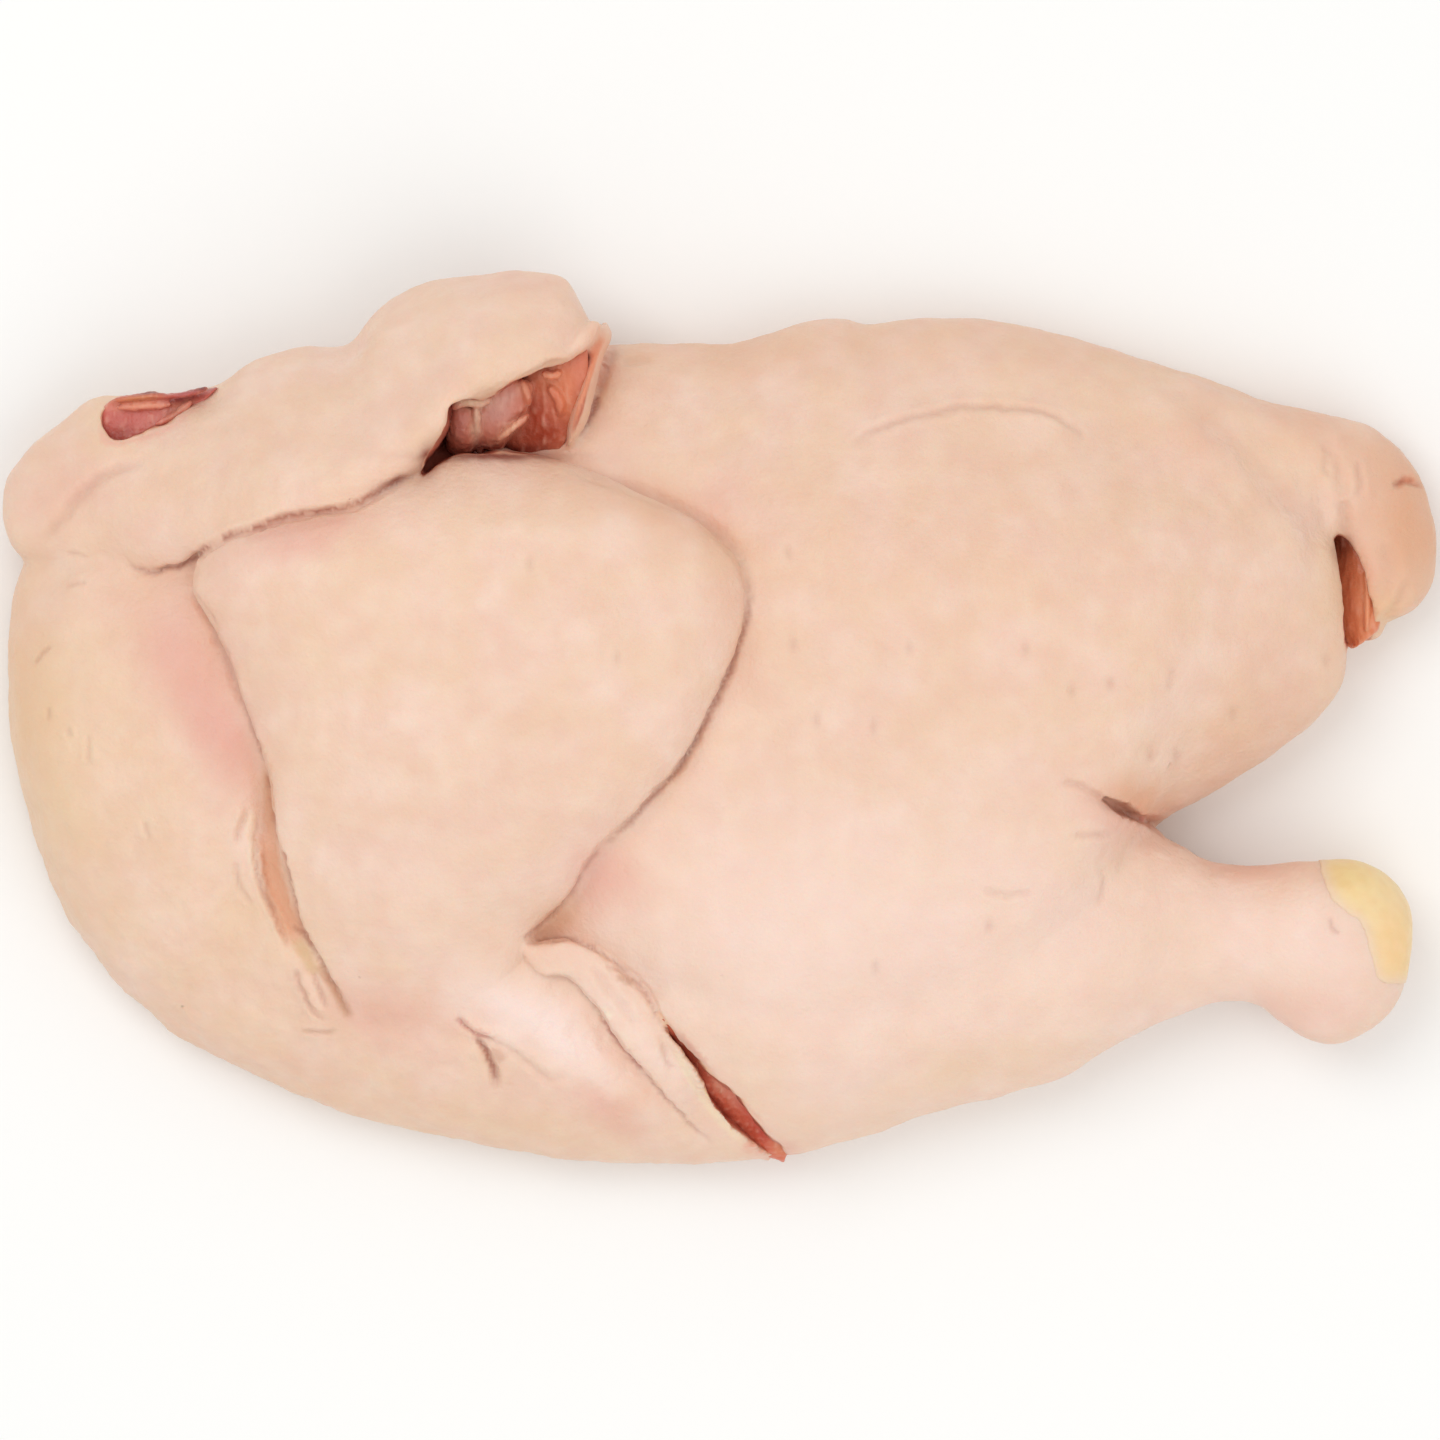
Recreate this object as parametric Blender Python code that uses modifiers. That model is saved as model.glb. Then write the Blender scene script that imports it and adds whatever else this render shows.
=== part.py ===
"""Half a raw chicken, lying on its cut side with the skin up.

Seen from above the neck end is at -X, the drumstick's knuckle and the tail are at +X, the
backbone runs along +Y and the breastbone's edge along -Y. The bird is built as its masses of
muscle, each a loft between two rails that are seen from above. The same masses, drawn in by the
thickness of the skin, make the meat, which shows underneath and where the skin is cut open.
"""

import math

import bmesh
import bpy
import numpy as np
from mathutils import Matrix

MM = 0.001

LENGTH = 280.0
WIDTH = 174.5

SKIN = 3.0
CLEARANCE = 0.35
SKIN_HEM = 0.8

SKIN_VOXEL = 1.5
MEAT_VOXEL = 2.5
SKIN_TRIANGLES = 7600
MEAT_TRIANGLES = 1900

# Each mass runs from its first rail point to its last, in mm from the middle of the bird. near
# is the rail towards the breastbone and far the one towards the backbone. rim is the height of
# the rails, crown what rises above them and belly what hangs below, each as values evenly
# spaced along the mass. square is 2 for a round section and more for a flatter one, and blunt
# is how full the ends are.
MASSES = {
    "body": {
        "near": [
            (-139.5, 13.5), (-139, 2), (-137.5, -11), (-133, -26.5), (-126.5, -40.5), (-117, -52.5),
            (-106, -62), (-92, -69.5), (-76.5, -75.5), (-59, -80.5), (-39.5, -84.5), (-19.5, -86.5),
            (-4, -87), (9.5, -85.5), (25, -82), (41, -76.5), (54.5, -68.5), (66.5, -56.5), (74, -43),
            (79, -29.5), (86, -19.5), (95.5, -14.5), (105.5, -8), (115, -1), (121, 6.5), (122.5, 15.5),
        ],
        "far": [
            (-139.5, 13.5), (-139, 23.5), (-136.5, 31), (-129, 39), (-115.5, 48.5), (-96, 56.5),
            (-72.5, 62), (-51, 67.5), (-31.5, 71.5), (-19.5, 73.5), (-8, 73.5), (2, 73.5), (9.5, 76),
            (18, 78.5), (24, 78.5), (28.5, 77), (35, 78.5), (54.5, 78), (66.5, 75.5), (80, 71),
            (95.5, 66.5), (107.5, 60), (115.5, 52), (120, 41), (122, 29.5), (122.5, 15.5),
        ],
        "rim_near": [8, 8, 8, 8, 8, 8, 9, 11, 15],
        "rim_far": [8, 8, 9, 9, 9, 9, 9, 11, 15],
        "crown": [14, 27, 32, 34, 35, 37, 36, 26, 12],
        "belly": [20, 20, 20, 20, 20, 20, 20, 20, 18],
        "square": 2.3,
        "blunt": 7,
        "stations": 70,
        "ribs": 30,
        "meat": SKIN,
    },
    "drumstick": {
        "near": [
            (-19.5, -51), (-14, -66.5), (-4, -77), (9.5, -84.5), (25, -82), (41, -77), (54.5, -73.5),
            (66.5, -69.5), (78, -63.5), (89.5, -58), (96.5, -55.5), (103.5, -55.5), (109.5, -59),
            (115, -62), (121, -63), (127, -60.5), (132, -55.5), (135, -44),
        ],
        "far": [
            (-19.5, -51), (-8, -33), (11.5, -22.5), (31, -15.5), (50.5, -12.5), (66.5, -13.5),
            (78, -17), (89.5, -24), (96.5, -28), (102.5, -28.5), (109.5, -27.5), (117, -27.5),
            (125, -28), (131, -31.5), (134.5, -37), (135, -44),
        ],
        "rim_near": [10, 10, 11, 12, 13, 14, 15, 15, 15],
        "rim_far": [16, 16, 16, 16, 16, 16, 16, 16, 15],
        "crown": [24, 27, 27, 25, 22, 17, 11, 15, 12],
        "belly": [20, 20, 20, 20, 18, 14, 11, 14, 11],
        "square": 2.2,
        "blunt": 9,
        "stations": 44,
        "ribs": 20,
        "meat": SKIN,
    },
    "tail": {
        "near": [
            (89.5, 68), (95.5, 53), (103, 43), (109, 34), (113, 26), (116.5, 20), (120, 16.5),
            (123.5, 15.5), (127.5, 15.5),
        ],
        "far": [
            (89.5, 68), (101.5, 64), (111.5, 61.5), (121, 59.5), (130, 55.5), (135.5, 49), (139, 41),
            (140, 31.5), (138.5, 23.5), (134.5, 18.5), (131, 16), (127.5, 15.5),
        ],
        "rim_near": [18, 18, 16, 12, 9, 8, 9],
        "rim_far": [12, 12, 12, 12, 11, 11, 10],
        "crown": [7, 9, 11, 12, 12, 11, 6],
        "belly": [14, 14, 14, 12, 8.5, 8.5, 6],
        "square": 2.2,
        "blunt": 6,
        "stations": 26,
        "ribs": 14,
        "meat": SKIN,
    },
    "wing_panel": {
        "near": [
            (-57, 57.5), (-76.5, 51), (-92, 42), (-101, 33), (-102.5, 25.5), (-99.5, 19.5), (-95.5, 11),
            (-91.5, 1), (-89, -9), (-87, -19.5), (-84.5, -29.5), (-81.5, -39), (-77.5, -49),
            (-73, -58.5), (-67.5, -64.5), (-59, -69.5),
        ],
        "far": [
            (-57, 57.5), (-46, 53), (-35.5, 51.5), (-23.5, 47.5), (-12, 42.5), (-2, 36.5), (4, 30.5),
            (5.5, 23.5), (3.5, 15.5), (-1, 6), (-6, -4), (-13, -14.5), (-21.5, -24.5), (-29.5, -33),
            (-36, -41), (-38.5, -48), (-42, -56.5), (-49, -65.5), (-59, -69.5),
        ],
        "rim_near": [30, 32, 36, 41, 42, 42, 40, 36, 28, 18],
        "rim_far": [30, 36, 42, 46, 47, 47, 44, 38, 29, 18],
        "crown": [4, 9, 12, 13, 13, 12, 10, 8, 6, 3],
        "belly": [6, 6, 7, 8, 8, 8, 8, 7, 6, 4],
        "square": 3.0,
        "blunt": 8,
        "stations": 52,
        "ribs": 24,
        "meat": SKIN,
    },
    "wing_band": {
        "near": [
            (-140, 39), (-138, 33), (-131, 29), (-117.5, 28.5), (-106, 29.5), (-92, 36), (-76.5, 41),
            (-63, 46.5), (-55.5, 50.5), (-52, 56.5), (-47, 62), (-39.5, 64), (-31.5, 68.5),
            (-23.5, 75.5),
        ],
        "far": [
            (-140, 39), (-139.5, 47), (-135, 53), (-129, 58.5), (-123, 63), (-111.5, 63.5),
            (-99, 65.5), (-92, 70), (-82.5, 72.5), (-72, 74), (-68, 79), (-59, 84.5), (-47, 87),
            (-37.5, 87.5), (-30.5, 86), (-27.5, 81), (-23.5, 75.5),
        ],
        "rim_near": [12, 16, 28, 38, 45, 46, 46, 42, 36],
        "rim_far": [12, 13, 13, 15, 17, 19, 22, 28, 34],
        "crown": [10, 13, 13, 12, 12, 13, 14, 11, 5],
        "belly": [10, 11, 11, 13, 14, 14, 14, 10, 5],
        "square": 2.4,
        "blunt": 7,
        "stations": 50,
        "ribs": 18,
        "meat": SKIN,
    },
    "wing_skin_edge": {
        "near": [(-30, 52), (-26.5, 56.5), (-24.5, 63.5), (-22.5, 70.5), (-21, 75.5), (-22.5, 78)],
        "far": [(-30, 52), (-30.5, 56.5), (-28.5, 63.5), (-25.5, 72.5), (-24, 76.5), (-22.5, 78)],
        "rim_near": [30, 30, 29, 28],
        "rim_far": [30, 30, 30, 28],
        "crown": [8, 11, 10, 6],
        "belly": [10, 10, 10, 8],
        "square": 2.2,
        "blunt": 8,
        "stations": 18,
        "ribs": 8,
        "meat": None,
    },
    "breast_fold": {
        "near": [
            (-55, -52), (-49, -58.5), (-39.5, -66.5), (-27.5, -73.5), (-16, -78), (-4, -82),
        ],
        "far": [
            (-55, -52), (-43, -46), (-33.5, -47.5), (-24.5, -54.5), (-18, -63.5), (-12, -72.5),
            (-4, -82),
        ],
        "rim_near": [34, 30, 24, 16, 8],
        "rim_far": [35, 33, 28, 19, 8],
        "crown": [3, 5, 5, 4, 2],
        "belly": [8, 8, 8, 8, 4],
        "square": 2.2,
        "blunt": 5,
        "stations": 26,
        "ribs": 12,
        "meat": None,
    },
    "knee_fold": {
        "near": [
            (-39.5, -42), (-31.5, -48), (-24.5, -54.5), (-19, -63.5), (-13, -71.5), (-6, -79),
            (2, -84.5), (10, -86.5),
        ],
        "far": [
            (-39.5, -42), (-28.5, -41), (-19.5, -47), (-14, -54.5), (-9, -62.5), (-3.5, -70.5),
            (2, -78), (10, -86.5),
        ],
        "rim_near": [38, 36, 32, 26, 16, 7],
        "rim_far": [38, 37, 34, 28, 18, 7],
        "crown": [2, 4, 5, 5, 4, 2],
        "belly": [8, 8, 8, 8, 8, 5],
        "square": 2.2,
        "blunt": 6,
        "stations": 32,
        "ribs": 10,
        "meat": None,
    },
}

# The wing's muscle comes out past the edge of its skin, where the wing was cut off.
STUMP = {
    "near": [(-60, 70), (-62, 64), (-58, 57), (-52, 52.5), (-46, 50.5), (-40, 50)],
    "far": [(-60, 70), (-48, 75), (-34, 72), (-29, 66), (-30, 58), (-34, 52), (-40, 50)],
    "rim_near": [28, 28, 26, 24, 22],
    "rim_far": [28, 28, 26, 24, 22],
    "crown": [8, 12, 14, 13, 8],
    "belly": [12, 14, 16, 16, 12],
    "square": 2.3,
    "blunt": 6,
    "stations": 18,
    "ribs": 12,
    "meat": 0.0,
}

# Where the skin is open, down to the meat: outline in plan, then lowest and highest point.
SKIN_OPENINGS = {
    "shoulder_window": (
        [
            (-120.5, 58), (-119, 64), (-111.5, 66), (-105, 66), (-98.5, 66), (-99.5, 63.5),
            (-104, 60), (-109.5, 56.5), (-116.5, 54.5), (-120, 55.5),
        ],
        14,
        60,
    ),
    "knee_slit": (
        [
            (-14, -56.5), (-9, -61), (-3, -69), (3.5, -78.5), (9, -86), (12.5, -84), (7, -76.5),
            (0, -68), (-6, -60.5),
        ],
        9,
        60,
    ),
    "tail_slit": (
        [
            (119.5, 36), (122, 37.5), (125.5, 31.5), (127, 23.5), (127, 17), (122, 14.5),
            (120.5, 23.5),
        ],
        4,
        60,
    ),
}

# The yellow skin left on the end of the shank: outline in plan, then lowest and highest point.
SHANK_CAP = (
    [
        (114.5, -20), (150, -20), (150, -53), (131, -53), (127, -49), (121, -41), (116.5, -34),
    ],
    9,
    60,
)

# Swellings and hollows of the body's top: x, y, radius along, radius across, turn in degrees, rise.
SWELLINGS = [
    (40, 25, 48, 34, -8, 6),
    (10, -48, 34, 22, -20, 5),
    (-30, -34, 9, 7, 45, -8),
    (-16, -61, 30, 9, -42, -10),
    (-92, -34, 10, 26, -18, -3),
    (80, 52, 30, 10, -20, -4),
    (92, 10, 18, 22, 0, 2),
]


def smooth_line(points, shares):
    """Points on a smooth curve through the given ones, at shares of its length from 0 to 1."""
    p = np.array(points, float).reshape(len(points), -1)
    step = np.linalg.norm(np.diff(p, axis=0), axis=1) if p.shape[1] > 1 else np.ones(len(p) - 1)
    knots = np.concatenate([[0], np.cumsum(step)])
    slope = np.gradient(p, knots, axis=0)
    at = np.clip(np.asarray(shares, float), 0, 1) * knots[-1]
    i = np.clip(np.searchsorted(knots, at, side="right") - 1, 0, len(p) - 2)
    h = (knots[i + 1] - knots[i])[:, None]
    u = ((at - knots[i])[:, None]) / h
    return (
        (2 * u**3 - 3 * u**2 + 1) * p[i]
        + (u**3 - 2 * u**2 + u) * h * slope[i]
        + (3 * u**2 - 2 * u**3) * p[i + 1]
        + (u**3 - u**2) * h * slope[i + 1]
    )


def values_along(values, shares):
    return smooth_line([(v,) for v in values], shares)[:, 0]


def swelling(x, y, swellings):
    """How much the swellings and hollows lift a point of the body's top."""
    total = np.zeros_like(x)
    for cx, cy, along, across, turn, rise in swellings:
        c, s = math.cos(math.radians(turn)), math.sin(math.radians(turn))
        a = ((x - cx) * c + (y - cy) * s) / along
        b = ((y - cy) * c - (x - cx) * s) / across
        total += rise * np.exp(-(a**2 + b**2))
    return total


def mass_rings(mass, inset, swellings):
    """The rings of points round a mass, from end to end, and its two end points, in mm."""
    n = mass["stations"]
    shares = (1 - np.cos(np.pi * np.arange(1, n) / n)) / 2 * 0.35 + np.arange(1, n) / n * 0.65
    near = smooth_line(mass["near"], shares)
    far = smooth_line(mass["far"], shares)
    fullness = np.sqrt(1 - np.abs(2 * shares - 1) ** mass["blunt"])
    rim_near = values_along(mass["rim_near"], shares)
    rim_far = values_along(mass["rim_far"], shares)
    crown = values_along(mass["crown"], shares) * fullness
    belly = values_along(mass["belly"], shares) * fullness
    ends = [np.array(mass["near"][0], float), np.array(mass["near"][-1], float)]
    if inset:
        middle = (near + far) / 2
        span = far - near
        width = np.linalg.norm(span, axis=1)
        room = np.min([np.linalg.norm(middle - end, axis=1) for end in ends], axis=0)
        keep = (width > 2.6 * inset) & (room > inset + 1)
        span = span / width[:, None]
        near, far = (near + span * inset)[keep], (far - span * inset)[keep]
        rim_near, rim_far = rim_near[keep], rim_far[keep]
        crown = np.maximum(crown - inset, 1)[keep]
        belly = np.maximum(belly - 1.7 * inset, 1)[keep]
        ends = [(near[0] + far[0]) / 2, (near[-1] + far[-1]) / 2]
    across = -np.cos(np.pi * np.arange(mass["ribs"] + 1) / mass["ribs"])
    bulge = np.sqrt(np.maximum(1 - np.abs(across) ** mass["square"], 0))
    rings = []
    for i in range(len(near)):
        share = (across[:, None] + 1) / 2
        plan = near[i] * (1 - share) + far[i] * share
        rim = rim_near[i] * (1 - share[:, 0]) + rim_far[i] * share[:, 0]
        lift = swelling(plan[:, 0], plan[:, 1], swellings) * bulge
        top = np.column_stack([plan, rim + crown[i] * bulge + lift])
        under = np.column_stack([plan, rim - belly[i] * bulge])
        rings.append(np.vstack([top, under[-2:0:-1]]))
    heights = [
        (rim_near[0] + rim_far[0]) / 2,
        (rim_near[-1] + rim_far[-1]) / 2,
    ]
    return rings, [np.append(end, z) for end, z in zip(ends, heights)]


def mass_object(name, mass, collection, inset=0.0, swellings=()):
    """A closed mesh object of one mass."""
    rings, ends = mass_rings(mass, inset, swellings)
    bm = bmesh.new()
    loops = [[bm.verts.new(p * MM) for p in ring] for ring in rings]
    first, last = (bm.verts.new(p * MM) for p in ends)
    count = len(loops[0])
    for ring, following in zip(loops, loops[1:]):
        for j in range(count):
            k = (j + 1) % count
            bm.faces.new((ring[j], ring[k], following[k], following[j]))
    for j in range(count):
        k = (j + 1) % count
        bm.faces.new((first, loops[0][k], loops[0][j]))
        bm.faces.new((last, loops[-1][j], loops[-1][k]))
    bmesh.ops.recalc_face_normals(bm, faces=bm.faces)
    mesh = bpy.data.meshes.new(name)
    bm.to_mesh(mesh)
    bm.free()
    obj = bpy.data.objects.new(name, mesh)
    collection.objects.link(obj)
    return obj


def new_collection(name):
    collection = bpy.data.collections.new(name)
    bpy.context.scene.collection.children.link(collection)
    return collection


def applied(obj):
    """Bakes an object's modifiers into its mesh."""
    graph = bpy.context.evaluated_depsgraph_get()
    mesh = bpy.data.meshes.new_from_object(obj.evaluated_get(graph))
    obj.modifiers.clear()
    obj.data = mesh
    return obj


def fused(name, parts, voxel, triangles, passes, collection):
    """One organic solid from overlapping masses: joined, remeshed, smoothed and thinned."""
    bm = bmesh.new()
    for part in parts:
        bm.from_mesh(part.data)
        bpy.data.objects.remove(part)
    mesh = bpy.data.meshes.new(name)
    bm.to_mesh(mesh)
    bm.free()
    obj = bpy.data.objects.new(name, mesh)
    collection.objects.link(obj)
    remesh = obj.modifiers.new("remesh", "REMESH")
    remesh.mode = "VOXEL"
    remesh.voxel_size = voxel * MM
    smooth = obj.modifiers.new("smooth", "SMOOTH")
    smooth.factor = 0.5
    smooth.iterations = passes
    applied(obj)
    count = sum(len(p.vertices) - 2 for p in obj.data.polygons)
    thin = obj.modifiers.new("thin", "DECIMATE")
    thin.ratio = triangles / count
    thin.use_collapse_triangulate = True
    return applied(obj)


def prism(name, outline, low, high, collection):
    """A cutter with the given outline in plan, between two heights, in mm."""
    bm = bmesh.new()
    lower = [bm.verts.new((x * MM, y * MM, low * MM)) for x, y in outline]
    upper = [bm.verts.new((x * MM, y * MM, high * MM)) for x, y in outline]
    bm.faces.new(lower)
    bm.faces.new(upper)
    for i in range(len(outline)):
        j = (i + 1) % len(outline)
        bm.faces.new((lower[i], lower[j], upper[j], upper[i]))
    bmesh.ops.recalc_face_normals(bm, faces=bm.faces)
    mesh = bpy.data.meshes.new(name)
    bm.to_mesh(mesh)
    bm.free()
    obj = bpy.data.objects.new(name, mesh)
    collection.objects.link(obj)
    return obj


def copied(obj, name, collection):
    twin = obj.copy()
    twin.data = obj.data.copy()
    twin.name = name
    collection.objects.link(twin)
    return twin


def swollen(obj, by):
    """Moves an object's surface out by a distance, in mm."""
    grow = obj.modifiers.new("grow", "DISPLACE")
    grow.strength = by * MM
    grow.mid_level = 0.0
    return applied(obj)


def combined(obj, cutters, operation="DIFFERENCE"):
    """Cuts an object by each cutter, or keeps what it shares with each."""
    for cutter in cutters:
        boolean = obj.modifiers.new(operation.lower(), "BOOLEAN")
        boolean.operation = operation
        boolean.solver = "EXACT"
        boolean.object = cutter
        applied(obj)
    return obj


def without_crumbs(obj):
    """Drops the loose crumbs that cutting leaves beside the one body."""
    bm = bmesh.new()
    bm.from_mesh(obj.data)
    pieces, left = [], set(bm.verts)
    while left:
        piece, edge = set(), [left.pop()]
        while edge:
            vert = edge.pop()
            piece.add(vert)
            near = {e.other_vert(vert) for e in vert.link_edges} & left
            left -= near
            edge.extend(near)
        pieces.append(piece)
    pieces.sort(key=len)
    crumbs = [vert for piece in pieces[:-1] for vert in piece]
    bmesh.ops.delete(bm, geom=crumbs, context="VERTS")
    bm.to_mesh(obj.data)
    bm.free()


def middle_of(objects):
    """The middle of the objects' box in plan, in metres."""
    points = np.array([v.co for obj in objects for v in obj.data.vertices])
    low, high = points.min(axis=0), points.max(axis=0)
    return (low[0] + high[0]) / 2, (low[1] + high[1]) / 2


def finish(obj, colour, roughness):
    material = bpy.data.materials.new(obj.name)
    material.use_nodes = True
    shader = material.node_tree.nodes["Principled BSDF"]
    shader.inputs["Base Color"].default_value = (*colour, 1)
    shader.inputs["Roughness"].default_value = roughness
    shader.inputs["Metallic"].default_value = 0.0
    obj.data.materials.clear()
    obj.data.materials.append(material)
    obj.data.shade_smooth()


def main():
    for old in list(bpy.data.objects):
        bpy.data.objects.remove(old)
    chicken = new_collection("half_chicken")
    helpers = new_collection("helpers")
    helpers.hide_render = True

    swellings = {"body": SWELLINGS}
    masses = [
        mass_object(name, mass, helpers, 0, swellings.get(name, ()))
        for name, mass in MASSES.items()
    ]
    skin = fused("skin", masses, SKIN_VOXEL, SKIN_TRIANGLES, 4, chicken)

    muscles = [
        mass_object(name, mass, helpers, mass["meat"], swellings.get(name, ()))
        for name, mass in MASSES.items()
        if mass["meat"] is not None
    ]
    muscles.append(mass_object("stump", STUMP, helpers))
    meat = fused("meat", muscles, MEAT_VOXEL, MEAT_TRIANGLES, 3, chicken)

    core = swollen(copied(meat, "core", helpers), CLEARANCE)
    ground = [(-200, -200), (200, -200), (200, 200), (-200, 200)]
    under_meat = prism("under_meat", ground, -60, 0, helpers)
    under_skin = prism("under_skin", ground, -60, SKIN_HEM, helpers)
    openings = [prism(name, *opening, helpers) for name, opening in SKIN_OPENINGS.items()]
    cap_outline, cap_low, cap_high = SHANK_CAP
    cap_place = prism("cap_place", cap_outline, cap_low, cap_high, helpers)
    cap_shape = copied(cap_place, "cap_shape", helpers)
    cap_shape.data.transform(Matrix.Translation((CLEARANCE * MM, CLEARANCE * MM, CLEARANCE * MM)))

    combined(skin, [core, under_skin])
    shank_cap = copied(skin, "shank_cap", chicken)
    combined(shank_cap, [cap_shape], "INTERSECT")
    combined(skin, [*openings, cap_place])
    combined(meat, [under_meat])

    nodes = [skin, meat, shank_cap]
    for node in nodes:
        without_crumbs(node)
    x, y = middle_of(nodes)
    for node in nodes:
        node.data.transform(Matrix.Translation((-x, -y, 0)))
    for helper in helpers.objects:
        helper.hide_render = True
        helper.display_type = "WIRE"
    finish(skin, (0.80, 0.58, 0.45), 0.45)
    finish(meat, (0.52, 0.16, 0.10), 0.4)
    finish(shank_cap, (0.90, 0.68, 0.33), 0.4)


main()
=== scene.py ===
"""Dresses the half chicken: its skin, the meat that shows in it, and the yellow shank end.

The bird lies on its cut side. Its neck end is at -X, the drumstick and the tail are at +X, and the
backbone runs along +Y. Places are in millimetres from the middle of the bird, as seen from above.
"""

import itertools
import math

import bmesh
import bpy
import numpy as np
from bpy.props import FloatProperty, FloatVectorProperty, PointerProperty
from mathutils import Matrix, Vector
from mathutils.bvhtree import BVHTree


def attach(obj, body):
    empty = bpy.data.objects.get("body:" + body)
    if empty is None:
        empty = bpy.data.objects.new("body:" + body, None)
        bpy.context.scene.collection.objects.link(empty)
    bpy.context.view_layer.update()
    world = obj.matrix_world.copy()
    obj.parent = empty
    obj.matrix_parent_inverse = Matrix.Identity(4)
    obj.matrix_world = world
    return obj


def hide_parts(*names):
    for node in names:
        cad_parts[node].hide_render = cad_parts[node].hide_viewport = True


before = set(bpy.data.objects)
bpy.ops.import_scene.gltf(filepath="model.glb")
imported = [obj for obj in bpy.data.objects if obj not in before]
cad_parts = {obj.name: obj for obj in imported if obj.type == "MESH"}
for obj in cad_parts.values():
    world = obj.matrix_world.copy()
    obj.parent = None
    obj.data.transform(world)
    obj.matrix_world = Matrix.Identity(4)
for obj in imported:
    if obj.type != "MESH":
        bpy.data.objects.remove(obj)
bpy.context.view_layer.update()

bl_info = {
    "name": "Half chicken",
    "version": (1, 0, 0),
    "blender": (4, 5, 0),
    "location": "View3D > Sidebar > Half chicken",
    "description": "Models the skin, meat and shank end of a raw half chicken",
    "category": "Object",
}

MM = 0.001
# Height in mm of the skin's lower edge above the floor.
HEM = 0.8
# Most triangles that the skin may have.
SKIN_TRIANGLES = 196000


def lofted(near, far, rims, crown, belly, square, blunt):
    """The measures of one mass. far leaves out its two ends, which it shares with near."""
    rim_near, rim_far = rims if isinstance(rims, tuple) else (rims, rims)
    return {
        "near": near, "far": [near[0], *far, near[-1]], "rim_near": rim_near, "rim_far": rim_far,
        "crown": crown, "belly": belly, "square": square, "blunt": blunt,
    }


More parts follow.
